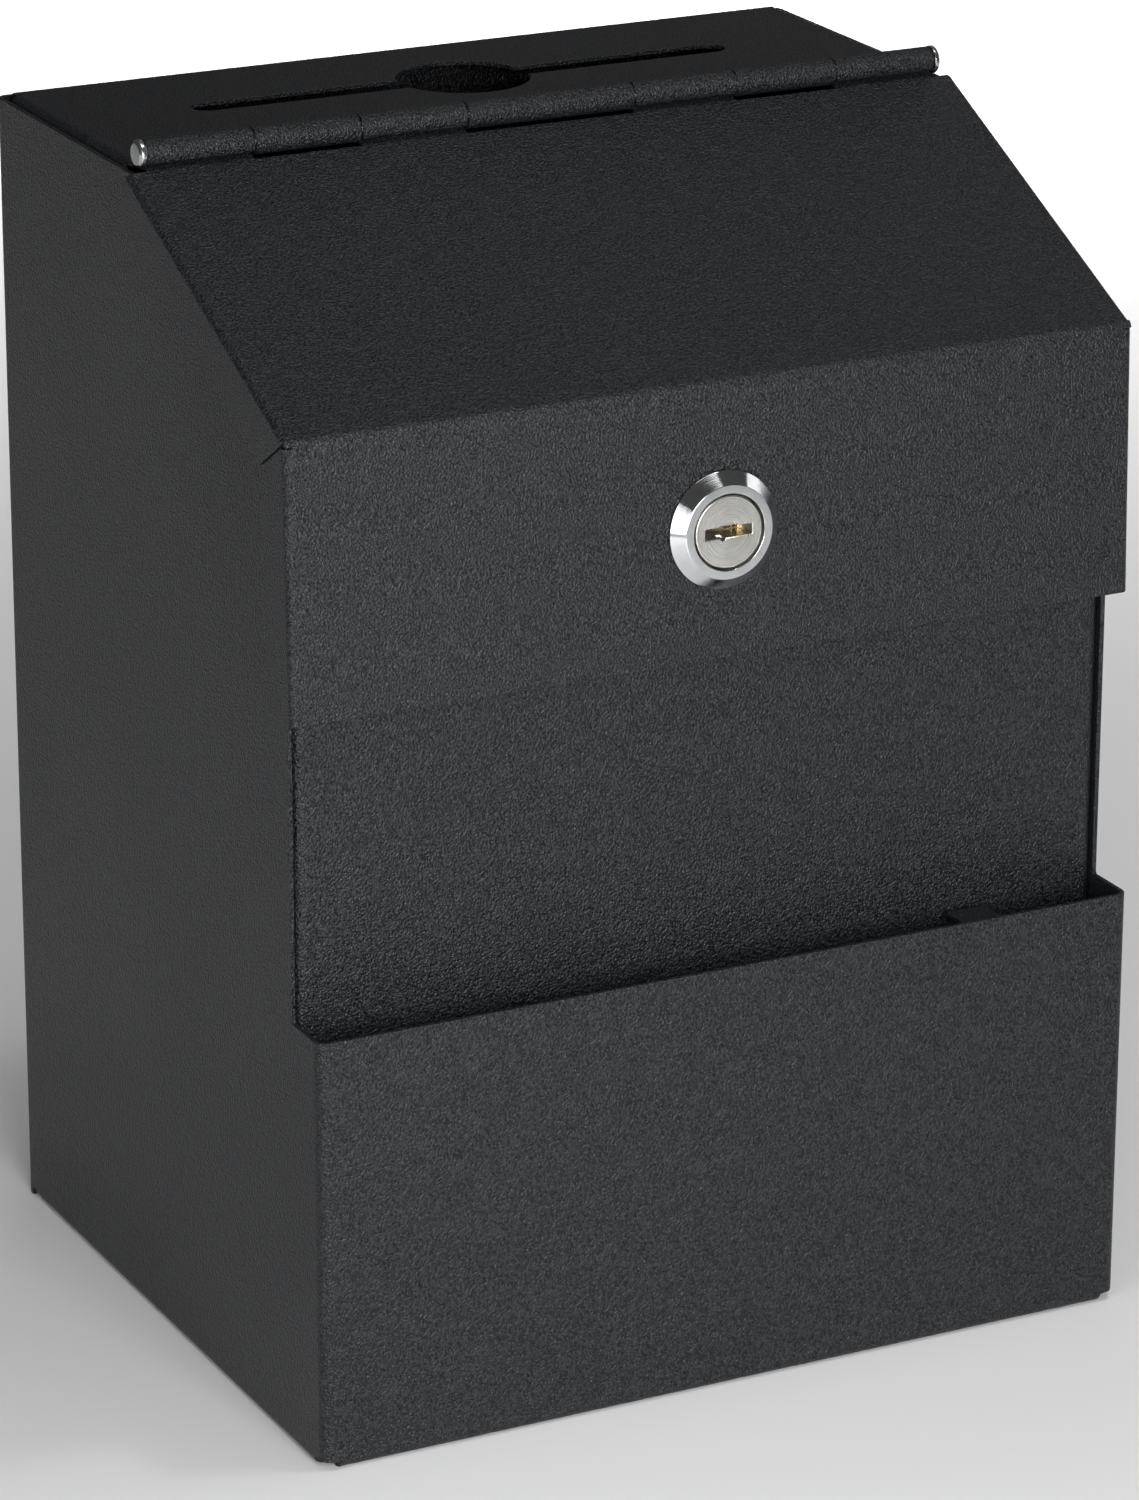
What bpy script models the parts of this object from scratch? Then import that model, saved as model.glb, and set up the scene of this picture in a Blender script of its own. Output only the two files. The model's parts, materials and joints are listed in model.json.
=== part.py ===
"""Steel donation box with a sloping hinged lid, a cam lock and a card pocket.

Metres, +Z up.  The origin is the middle of the footprint on the resting plane, the front faces -Y
and +X is to the right of someone who stands in front of the box.  Sheet pieces are drawn along the
middle of the sheet, so a bend of outer radius R is drawn at R - SHEET / 2.
"""
import math

import bmesh
import bpy
from mathutils import Matrix, Vector

# --- body ------------------------------------------------------------------------------------
WIDTH = 0.183               # across the outer faces of the two side panels
DEPTH = 0.155               # from the wall to the front of the pocket
TOP_Z = 0.246               # upper face of the top panel
SHEET = 0.001               # cold-rolled steel sheet
FIT = 0.0003                # gap between sheets that lie on each other
SHELL_BEND = 0.0025         # outer radius of the shell's vertical bends
PANEL_BEND = 0.0022         # outer radius of the bends of the other body sheets
SIDE_TOP_DROP = 0.001       # the side panels' raw top edges lie below the top panel
BACK_FLANGE = 0.012
BASE_FLANGE = 0.012
CORNER_RELIEF = 0.0018      # height of the notch at the foot of each front corner
POCKET_HEIGHT = 0.0915
POCKET_ROOM = 0.0118        # clear depth of the card pocket
SIDE_FLANGE = 0.010         # flanges of the top panel and the front panel

# --- openings of the body --------------------------------------------------------------------
SLOT_LENGTH = 0.1224
SLOT_WIDTH = 0.007
SLOT_SETBACK = 0.0315       # from the wall to the slot's middle line
COIN_HOLE_D = 0.028
WALL_HOLE_D = 0.0055
WALL_HOLE_X = 0.055
WALL_HOLE_DROP = 0.041      # below the top panel

# --- pocket divider --------------------------------------------------------------------------
DIVIDER_X = 0.059
DIVIDER_WIDTH = 0.009
DIVIDER_DROP = 0.0015       # below the pocket's rim
DIVIDER_TAB = 0.009         # height of its welded tabs

# --- hinge -----------------------------------------------------------------------------------
HINGE_SETBACK = 0.0705      # from the wall to the pin
PIN_R = 0.0017
PIN_PLAY = 0.0001
BARREL_INSET = 0.0029       # from a side panel's outer face to the barrel's end
KNUCKLE_SPLITS = (0.0188, 0.0423, 0.0655)
KNUCKLE_GAP = 0.0003
NOTCH_PLAY = 0.0005         # from a knuckle to the sheet that is notched round it
TOP_LEAF_RISE = 0.0008      # the top panel's leaf climbs this much into its knuckles
TOP_LEAF_RUN = 0.006
ROLL_SWEEP = 285.0          # degrees of sheet rolled round the pin
PIN_HEAD_PROUD = 0.0001     # of the knuckles' outer radius
PIN_HEAD_T = 0.0014
PIN_HEAD_GAP = 0.0003
ROLL_STEPS = 14

# --- lid -------------------------------------------------------------------------------------
LID_SLOPE = 25.4            # degrees below level
LID_LEAN = 1.8              # degrees that the lid's front leans out at its foot
LID_STANDOFF = 0.0041       # from the body's front panel out to the lid's fold
LID_FRONT = 0.0563          # height of the lid's front, measured along it
LID_SIDE_PLAY = 0.0007      # between a side panel and the lid's flange
LID_FLANGE = 0.0117
LID_FLANGE_CORNER = 0.0035
LID_FOLD_R = 0.0018
LID_UNDER_PLAY = 0.0006     # between the lid's underside and the side panels' slanted edges
MITRE_WIDTH = 0.0005
STEP = 0.0002               # a flange edge stands this far back from the face it bends from

# --- lock (heights are measured outwards from the lid's face) ----------------------------------
LOCK_DROP = 0.0298          # along the lid's front, from its fold to the lock
LOCK_BODY_R = 0.00925
LOCK_FLAT = 0.008           # from the axis to each flat of the threaded body
LOCK_BODY_LENGTH = 0.016
LOCK_PLAY = 0.0002
BEZEL_R = 0.0120
BEZEL_RIM = 0.0005
BEZEL_FACE_R = 0.0095
BEZEL_HEIGHT = 0.0027
PLUG_FACE_R = 0.0073
PLUG_FACE_PLAY = 0.0005
PLUG_FACE_T = 0.0016
PLUG_SINK = 0.0003          # the plug's face lies below the bezel's
PLUG_R = 0.0062
PLUG_PLAY = 0.0002
TAIL_HALF = 0.0035          # half the square drive at the plug's end
KEYWAY_LENGTH = 0.0103
KEYWAY_WIDTH = 0.0022
KEYWAY_DEPTH = 0.0125
THUMB_RECESS_R = 0.0024
THUMB_RECESS_DEPTH = 0.0009
WAFER_COUNT = 5
WAFER_T = 0.0008
WAFER_PITCH = 0.0017
WAFER_FIRST = 0.0032        # depth of the first wafer below the lid's face
WAFER_HALF_X = 0.0052
WAFER_HALF_Z = 0.0026
WAFER_WINDOW_X = 0.0043
WAFER_WINDOW_Z = 0.0013
WAFER_SHIFT = 0.0003
WAFER_PLAY = 0.0001
LUG_FROM = 0.0015           # from the lock's axis to the lug that a wafer's spring pushes
LUG_WIDTH = 0.0006
LUG_DROP = 0.0011           # below the wafer's lower edge
SPRING_WIRE_R = 0.0001
SPRING_COIL_R = 0.0004
SPRING_TURNS = 4.5
SPRING_POCKET_HALF = 0.0026
SPRING_POCKET_T = 0.0012
WASHER_T = 0.0008
WASHER_R = 0.0118
NUT_T = 0.0045
NUT_FLATS = 0.0225
STOP_T = 0.001
STOP_R = 0.0075
STOP_LUG = 0.003
CAM_T = 0.002
CAM_WIDTH = 0.013
CAM_REACH = 0.022
STAR_WASHER_T = 0.0006
STAR_WASHER_R = 0.0048
SCREW_R = 0.0019
SCREW_HEAD_R = 0.0042
SCREW_HEAD_T = 0.0024
SCREW_LENGTH = 0.007
SCREW_CROSS = 0.0009
CATCH_PLAY = 0.0008         # between the turned-down cam and the catch lip
CATCH_LIP_PAST_CAM = 0.0015 # the lip reaches this far below the cam's tip
CATCH_INSET = 0.0102        # from the front panel's side to the catch's end
NUT_CLEARANCE = 0.0012      # between the nut and the catch below it
MARGIN = 0.02               # how far a cutter reaches past what it cuts

# --- places that follow ------------------------------------------------------------------------
HALF = WIDTH / 2
BACK_Y = DEPTH / 2
FRONT_Y = -DEPTH / 2
INNER_HALF = HALF - SHEET - FIT
SIDE_TOP_Z = TOP_Z - SIDE_TOP_DROP
FRONT_PANEL_Y = FRONT_Y + SHEET + POCKET_ROOM
BASE_TOP_Z = 2 * SHEET + FIT
BACK_PANEL_Y = BACK_Y - SHEET - FIT
KNUCKLE_R = PIN_R + PIN_PLAY + SHEET
ROLL_R = KNUCKLE_R - SHEET / 2
PIN_HEAD_R = KNUCKLE_R + PIN_HEAD_PROUD
BARREL_HALF = HALF - BARREL_INSET
NOTCH_R = KNUCKLE_R + NOTCH_PLAY
PIN_Y = BACK_Y - HINGE_SETBACK
PIN_Z = TOP_Z - SHEET + KNUCKLE_R + TOP_LEAF_RISE
LID_HALF = HALF + LID_SIDE_PLAY + SHEET

SLOPE = math.radians(LID_SLOPE)
LEAN = math.radians(LID_LEAN)
PIN = Vector((PIN_Y, PIN_Z))                                  # 2D vectors are (y, z)
SLOPE_DOWN = Vector((-math.cos(SLOPE), -math.sin(SLOPE)))
SLOPE_OUT = Vector((-math.sin(SLOPE), math.cos(SLOPE)))
FRONT_DOWN = Vector((-math.sin(LEAN), -math.cos(LEAN)))
FRONT_OUT = Vector((-math.cos(LEAN), math.sin(LEAN)))
LID_FOOT = PIN - SLOPE_OUT * (KNUCKLE_R - SHEET)              # on the lid's upper face, below the pin
LID_RUN = (LID_FOOT.x - (FRONT_PANEL_Y - LID_STANDOFF)) / math.cos(SLOPE)
LID_FOLD = LID_FOOT + SLOPE_DOWN * LID_RUN
LID_EDGE = LID_FOLD + FRONT_DOWN * LID_FRONT
LOCK_AT = LID_FOLD + FRONT_DOWN * LOCK_DROP

NUT_FROM = -(SHEET + 2 * FIT + WASHER_T)
STOP_FROM = -(LOCK_BODY_LENGTH + FIT)
CAM_FROM = STOP_FROM - STOP_T - FIT
STAR_FROM = CAM_FROM - CAM_T - FIT
SCREW_FROM = STAR_FROM - STAR_WASHER_T - FIT
NUT_CORNER_R = NUT_FLATS / 2 / math.cos(math.pi / 6)

CAM_TIP = LOCK_AT + FRONT_OUT * CAM_FROM + FRONT_DOWN * CAM_REACH
CATCH_Y = CAM_TIP.x - CATCH_PLAY                              # back face of the catch lip
CATCH_TOP_Z = LOCK_AT.y - NUT_CORNER_R - NUT_CLEARANCE
CATCH_LIP_Z = CAM_TIP.y - CATCH_LIP_PAST_CAM
CATCH_HALF = INNER_HALF - CATCH_INSET
MATERIALS = {}


# --- helpers -----------------------------------------------------------------------------------
def clear_scene():
    """Remove what the start-up file holds."""
    for thing in list(bpy.data.objects):
        bpy.data.objects.remove(thing, do_unlink=True)
    for group in list(bpy.data.collections):
        bpy.data.collections.remove(group)


def new_collection(name):
    group = bpy.data.collections.new(name)
    bpy.context.scene.collection.children.link(group)
    return group


def material(name, colour, roughness, metallic):
    """Return the named Principled material, made on first use."""
    if name not in MATERIALS:
        made = bpy.data.materials.new(name)
        made.use_nodes = True
        shader = made.node_tree.nodes["Principled BSDF"]
        shader.inputs["Base Color"].default_value = (*colour, 1.0)
        shader.inputs["Roughness"].default_value = roughness
        shader.inputs["Metallic"].default_value = metallic
        MATERIALS[name] = made
    return MATERIALS[name]


def powder_coat(piece):
    return material(f"{piece}_powder_coat", (0.012, 0.012, 0.013), 0.55, 0.0)


def chrome(piece):
    return material(f"{piece}_chrome", (0.75, 0.76, 0.78), 0.12, 1.0)


def zinc(piece):
    return material(f"{piece}_zinc", (0.55, 0.56, 0.55), 0.35, 1.0)


def brass(piece):
    return material(f"{piece}_brass", (0.62, 0.48, 0.24), 0.35, 1.0)


def place(thing, group, parent=None):
    """Put an object in its collection, and under an empty where it has one."""
    for old in list(thing.users_collection):
        old.objects.unlink(thing)
    group.objects.link(thing)
    if parent is not None:
        thing.parent = parent
    return thing


def as_cutter(thing, parent=None):
    """Turn an object into a hidden operand of a Boolean."""
    place(thing, CUTTERS, parent)
    thing.hide_render = True
    thing.display_type = "WIRE"
    return thing


def as_part(thing, finish, parent=None):
    """Finish an object as a piece of the box."""
    place(thing, PARTS, parent)
    thing.data.materials.clear()
    thing.data.materials.append(finish)
    thing.data.shade_smooth()
    thing.data.set_sharp_from_angle(angle=math.radians(35))
    return thing


def mesh_object(name, shape):
    """Make an object of a bmesh and free the bmesh."""
    data = bpy.data.meshes.new(name)
    shape.to_mesh(data)
    shape.free()
    thing = bpy.data.objects.new(name, data)
    bpy.context.scene.collection.objects.link(thing)
    return thing


def boolean(thing, other, operation):
    step = thing.modifiers.new(f"{operation.lower()}_{other.name}", "BOOLEAN")
    step.operation = operation
    step.solver = "EXACT"
    step.object = other


def cut(thing, *cutters, parent=None):
    for cutter in cutters:
        boolean(thing, as_cutter(cutter, parent), "DIFFERENCE")


def join(thing, *pieces, parent=None):
    for piece in pieces:
        boolean(thing, as_cutter(piece, parent), "UNION")


def block(name, low, high, frame=None):
    """A box between two corners, given in the axes of `frame` where there is one."""
    low, high = Vector(low), Vector(high)
    shape = bmesh.new()
    bmesh.ops.create_cube(shape, size=1.0)
    bmesh.ops.scale(shape, vec=high - low, verts=shape.verts)
    bmesh.ops.translate(shape, vec=(low + high) / 2, verts=shape.verts)
    if frame is not None:
        bmesh.ops.transform(shape, matrix=frame, verts=shape.verts)
    return mesh_object(name, shape)


def rod(name, radius, low, high, axis="Z", centre=(0, 0, 0), sides=32):
    """A cylinder along X, Y or Z between two places on that axis."""
    turns = {"X": Matrix.Rotation(math.pi / 2, 4, "Y"), "Y": Matrix.Rotation(-math.pi / 2, 4, "X"),
             "Z": Matrix.Identity(4)}
    along = {"X": Vector((1, 0, 0)), "Y": Vector((0, 1, 0)), "Z": Vector((0, 0, 1))}[axis]
    shape = bmesh.new()
    bmesh.ops.create_cone(shape, cap_ends=True, segments=sides, radius1=radius, radius2=radius,
                          depth=high - low)
    bmesh.ops.transform(shape, matrix=turns[axis], verts=shape.verts)
    bmesh.ops.translate(shape, vec=Vector(centre) + along * (low + high) / 2, verts=shape.verts)
    return mesh_object(name, shape)


def turned(name, profile, steps=48):
    """Turn a profile of (radius, height) points, top to bottom, about Z."""
    shape = bmesh.new()
    points = [shape.verts.new((radius, 0, height)) for radius, height in profile]
    for first, second in zip(points, points[1:]):
        shape.edges.new((first, second))
    if profile[0][0] > 0:
        shape.edges.new((points[-1], points[0]))
    thing = mesh_object(name, shape)
    turn = thing.modifiers.new("turn", "SCREW")
    turn.axis = "Z"
    turn.steps = steps
    turn.render_steps = steps
    turn.use_merge_vertices = True
    turn.merge_threshold = 0.00001
    return thing


def plate(name, outline, low, high, axis="Z"):
    """A flat outline given a thickness along an axis: (x, y) along Z, (y, z) along X, (x, z) along Y."""
    curve = bpy.data.curves.new(name, "CURVE")
    curve.dimensions = "2D"
    curve.fill_mode = "BOTH"
    curve.extrude = (high - low) / 2
    spline = curve.splines.new("POLY")
    spline.points.add(len(outline) - 1)
    for point, (across, up) in zip(spline.points, outline):
        point.co = (across, up, 0, 1)
    spline.use_cyclic_u = True
    drawn = bpy.data.objects.new(name, curve)
    bpy.context.scene.collection.objects.link(drawn)
    seen = drawn.evaluated_get(bpy.context.evaluated_depsgraph_get())
    shape = bmesh.new()
    shape.from_mesh(bpy.data.meshes.new_from_object(seen))
    bpy.data.objects.remove(drawn, do_unlink=True)
    bmesh.ops.remove_doubles(shape, verts=shape.verts, dist=0.00001)
    middle = (low + high) / 2
    if axis == "X":
        frame = Matrix(((0, 0, 1, middle), (1, 0, 0, 0), (0, 1, 0, 0), (0, 0, 0, 1)))
    elif axis == "Y":
        frame = Matrix(((1, 0, 0, 0), (0, 0, -1, middle), (0, 1, 0, 0), (0, 0, 0, 1)))
    else:
        frame = Matrix.Translation((0, 0, middle))
    bmesh.ops.transform(shape, matrix=frame, verts=shape.verts)
    bmesh.ops.recalc_face_normals(shape, faces=shape.faces)
    return mesh_object(name, shape)


def arc(centre, radius, start, sweep, steps):
    """Points on an arc, with its angles in degrees."""
    turns = [math.radians(start + sweep * step / steps) for step in range(steps + 1)]
    return [Vector(centre) + radius * Vector((math.cos(turn), math.sin(turn))) for turn in turns]


def rounded(corners, radius, steps=4):
    """An open path with every inner corner rounded to one radius."""
    path = [Vector(corners[0])]
    for before, corner, after in zip(corners, corners[1:], corners[2:]):
        corner = Vector(corner)
        arrive = (Vector(before) - corner).normalized()
        leave = (Vector(after) - corner).normalized()
        half_turn = arrive.angle(leave) / 2
        setback = radius / math.tan(half_turn)
        centre = corner + (arrive + leave).normalized() * radius / math.sin(half_turn)
        first = corner + arrive * setback - centre
        last = corner + leave * setback - centre
        swing = math.atan2(first.x * last.y - first.y * last.x, first.dot(last))
        for step in range(steps + 1):
            path.append(centre + Matrix.Rotation(swing * step / steps, 2) @ first)
    path.append(Vector(corners[-1]))
    return path


def sheet(name, path, low, high, plane):
    """A bent sheet: a path along the sheet's middle, drawn in XY or YZ and pulled across it."""
    def spot(point, level):
        if plane == "XY":
            return Vector((point.x, point.y, level))
        return Vector((level, point.x, point.y))

    shape = bmesh.new()
    points = [shape.verts.new(spot(point, low)) for point in path]
    edges = [shape.edges.new(pair) for pair in zip(points, points[1:])]
    pulled = bmesh.ops.extrude_edge_only(shape, edges=edges)["geom"]
    moved = [item for item in pulled if isinstance(item, bmesh.types.BMVert)]
    bmesh.ops.translate(shape, vec=spot(Vector((0, 0)), high) - spot(Vector((0, 0)), low), verts=moved)
    thing = mesh_object(name, shape)
    wall = thing.modifiers.new("wall", "SOLIDIFY")
    wall.thickness = SHEET
    wall.offset = 0.0
    wall.use_even_offset = True
    return thing


def knuckles(owner):
    """The x ranges of the lid's or the body's knuckles, from left to right."""
    edges = [-BARREL_HALF, *(-split for split in reversed(KNUCKLE_SPLITS)), *KNUCKLE_SPLITS, BARREL_HALF]
    spans = list(zip(edges, edges[1:]))
    return spans[0::2] if owner == "lid" else spans[1::2]


def tilted(slope_down, origin):
    """A frame at a (y, z) point whose -Y runs down a slope and whose Z stands off it."""
    out = Vector((slope_down.y, -slope_down.x))
    return Matrix(((1, 0, 0, 0), (0, -slope_down.x, out.x, origin.x),
                   (0, -slope_down.y, out.y, origin.y), (0, 0, 0, 1)))


# --- body sheets -------------------------------------------------------------------------------
def build_outer_shell():
    """Side, pocket front and side in one sheet, with flanges at the back and the base."""
    middle = HALF - SHEET / 2
    back, front = BACK_Y - SHEET / 2, FRONT_Y + SHEET / 2
    plan = [(-HALF + BACK_FLANGE, back), (-middle, back), (-middle, front),
            (middle, front), (middle, back), (HALF - BACK_FLANGE, back)]
    shell = sheet("outer_shell", rounded(plan, SHELL_BEND - SHEET / 2), 0, SIDE_TOP_Z, "XY")

    under = LID_FOOT - SLOPE_OUT * (SHEET + LID_UNDER_PLAY)
    top_corner = under + SLOPE_DOWN * ((under.y - SIDE_TOP_Z) / math.sin(SLOPE))
    front_corner = under + SLOPE_DOWN * ((under.x - FRONT_PANEL_Y) / math.cos(SLOPE))
    ahead, above = FRONT_Y - MARGIN, TOP_Z + MARGIN
    profile = [(ahead, POCKET_HEIGHT), (FRONT_PANEL_Y, POCKET_HEIGHT), tuple(front_corner),
               tuple(top_corner), (top_corner.x, above), (ahead, above)]
    cut(shell, plate("side_profile_cutter", profile, -HALF - MARGIN, HALF + MARGIN, "X"))

    inside = SHEET / 2
    across, along = HALF - SHELL_BEND, BACK_Y - SHELL_BEND
    strips = {
        "left_base_flange": ((-HALF + inside, -along, 0), (-HALF + BASE_FLANGE, along, SHEET)),
        "right_base_flange": ((HALF - BASE_FLANGE, -along, 0), (HALF - inside, along, SHEET)),
        "front_base_flange": ((-across + BASE_FLANGE, FRONT_Y + inside, 0),
                              (across - BASE_FLANGE, FRONT_Y + BASE_FLANGE, SHEET)),
    }
    join(shell, *(block(name, low, high) for name, (low, high) in strips.items()))
    relief = SHELL_BEND + SHEET
    for side in (-1, 1):
        corner = side * (HALF + MARGIN)
        inner = side * (HALF - relief)
        cut(shell, block(f"corner_relief_{side}", (min(corner, inner), FRONT_Y - MARGIN, -MARGIN),
                         (max(corner, inner), FRONT_Y + relief, CORNER_RELIEF)))
    as_part(shell, powder_coat("outer_shell"))


def build_top_and_back_panel():
    """Top and back in one sheet, rolled at its front edge into the body's knuckles."""
    back = BACK_PANEL_Y - SHEET / 2
    level = TOP_Z - SHEET / 2
    kink = Vector((PIN_Y + TOP_LEAF_RUN, level))
    reach = kink - PIN
    bearing = math.degrees(math.atan2(reach.y, reach.x) - math.acos(ROLL_R / reach.length))
    path = rounded([(back, BASE_TOP_Z + FIT), (back, level), tuple(kink)], PANEL_BEND - SHEET / 2)
    path += arc(PIN, ROLL_R, bearing, -ROLL_SWEEP, ROLL_STEPS)
    panel = sheet("top_and_back_panel", path, -INNER_HALF, INNER_HALF, "YZ")

    notch_y = PIN_Y + NOTCH_R
    spans = [(-HALF - MARGIN, -BARREL_HALF), (BARREL_HALF, HALF + MARGIN), *knuckles("lid")]
    for number, (left, right) in enumerate(spans, 1):
        cut(panel, block(f"top_notch_{number}", (left - KNUCKLE_GAP, PIN_Y - MARGIN, PIN_Z - MARGIN),
                         (right + KNUCKLE_GAP, notch_y, PIN_Z + MARGIN)))
    for side in (-1, 1):
        faces = sorted((side * (INNER_HALF - STEP), side * (INNER_HALF - STEP - SHEET)))
        join(panel, block(f"top_side_flange_{side}", (faces[0], notch_y, TOP_Z - SIDE_FLANGE),
                          (faces[1], back - PANEL_BEND - FIT, TOP_Z - STEP)))

    rear_half, rear_y = HALF - SHELL_BEND - FIT, BACK_Y - SHELL_BEND - FIT
    for side in (-1, 1):
        edges = sorted((side * rear_half, side * (HALF + MARGIN)))
        cut(panel, block(f"rear_corner_cutter_{side}", (edges[0], rear_y, -MARGIN),
                         (edges[1], BACK_Y + MARGIN, TOP_Z + MARGIN)))

    slot_y = BACK_Y - SLOT_SETBACK
    straight = (SLOT_LENGTH - SLOT_WIDTH) / 2
    outline = arc((straight, slot_y), SLOT_WIDTH / 2, -90, 180, 8)
    outline += arc((-straight, slot_y), SLOT_WIDTH / 2, 90, 180, 8)
    cut(panel, plate("slot_cutter", outline, TOP_Z - MARGIN, TOP_Z + MARGIN),
        rod("coin_hole_cutter", COIN_HOLE_D / 2, TOP_Z - MARGIN, TOP_Z + MARGIN, "Z", (0, slot_y, 0), 40))
    for side in (-1, 1):
        centre = (side * WALL_HOLE_X, 0, TOP_Z - WALL_HOLE_DROP)
        low, high = back - MARGIN, back + MARGIN
        hole = rod(f"wall_hole_cutter_{side}", WALL_HOLE_D / 2, low, high, "Y", centre, 24)
        cut(panel, hole)
    as_part(panel, powder_coat("top_and_back_panel"))


def build_inner_front_panel():
    """The body's front behind the pocket, with side flanges and the catch for the cam."""
    front, half = FRONT_PANEL_Y + SHEET / 2, INNER_HALF - SHEET / 2
    rear = FRONT_PANEL_Y + SIDE_FLANGE
    plan = [(-half, rear), (-half, front), (half, front), (half, rear)]
    shoulder = CATCH_TOP_Z - 3 * SHEET
    path = rounded(plan, PANEL_BEND - SHEET / 2)
    panel = sheet("inner_front_panel", path, BASE_TOP_Z + FIT, shoulder, "XY")
    lip = CATCH_Y - SHEET / 2
    top = CATCH_TOP_Z - SHEET / 2
    profile = [(front, shoulder - 4 * SHEET), (front, top), (lip, top), (lip, CATCH_LIP_Z)]
    catch = rounded(profile, PANEL_BEND - SHEET / 2)
    join(panel, sheet("catch_strip", catch, -CATCH_HALF, CATCH_HALF, "YZ"))
    as_part(panel, powder_coat("inner_front_panel"))


def build_bottom_panel():
    """The base sheet that lies on the shell's flanges."""
    edge = HALF - SHEET - FIT
    panel = block("bottom_panel", (-edge, FRONT_Y + SHEET + FIT, SHEET + FIT),
                  (edge, BACK_Y - SHEET - FIT, BASE_TOP_Z))
    clear = SHELL_BEND + 2 * SHEET
    for side in (-1, 1):
        edges = sorted((side * (HALF + MARGIN), side * (HALF - clear)))
        cut(panel, block(f"base_corner_cutter_{side}", (edges[0], FRONT_Y - MARGIN, -MARGIN),
                         (edges[1], FRONT_Y + clear, MARGIN)),
            block(f"base_rear_cutter_{side}", (edges[0], BACK_Y - clear, -MARGIN),
                  (edges[1], BACK_Y + MARGIN, MARGIN)))
    as_part(panel, powder_coat("bottom_panel"))


def build_pocket_divider():
    """The bridge that keeps pens apart from cards, with a welded tab at each end."""
    top = POCKET_HEIGHT - DIVIDER_DROP - SHEET / 2
    rear = FRONT_PANEL_Y - FIT - SHEET / 2
    front = FRONT_Y + SHEET + FIT + SHEET / 2
    path = rounded([(rear, top - DIVIDER_TAB), (rear, top), (front, top), (front, top - DIVIDER_TAB)],
                   PANEL_BEND - SHEET / 2)
    left, right = DIVIDER_X - DIVIDER_WIDTH / 2, DIVIDER_X + DIVIDER_WIDTH / 2
    strap = sheet("pocket_divider", path, left, right, "YZ")
    as_part(strap, powder_coat("pocket_divider"))


# --- hinge pin and lid -------------------------------------------------------------------------
def build_hinge_pin(pin_frame):
    """A bright steel pin, headed at both ends."""
    inner = BARREL_HALF + PIN_HEAD_GAP
    outer = inner + PIN_HEAD_T
    rim = PIN_HEAD_T / 2
    head = [(0, outer), (PIN_HEAD_R - rim, outer), (PIN_HEAD_R, outer - rim), (PIN_HEAD_R, inner),
            (PIN_R, inner)]
    profile = head + [(radius, -height) for radius, height in reversed(head)]
    pin = turned("hinge_pin", profile, 20)
    pin.rotation_euler = (0, math.pi / 2, 0)
    as_part(pin, zinc("hinge_pin"), pin_frame)


def lid_flange_outline():
    """The side view of a lid flange: a slanted strip and an upright one, mitred at the fold."""
    width = LID_FLANGE
    start = LID_FOOT + SLOPE_DOWN * NOTCH_R
    rear = start - SLOPE_OUT * width
    foot = LID_EDGE - FRONT_DOWN * STEP
    low = foot - FRONT_OUT * width
    turn = SLOPE_DOWN.angle(FRONT_DOWN)
    inner = LID_FOLD - SLOPE_OUT * width - SLOPE_DOWN * width * math.tan(turn / 2)
    rounding = rounded([start, rear, inner], LID_FLANGE_CORNER, 5)
    fold = LID_FOLD - (SLOPE_OUT + FRONT_OUT).normalized() * LID_FOLD_R * 0.4
    edge = [low, foot - FRONT_OUT * STEP, fold - (SLOPE_OUT + FRONT_OUT) * STEP / 2]
    return [rounding[0] - SLOPE_OUT * STEP, *rounding[1:-1], inner, *edge], fold, inner


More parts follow.
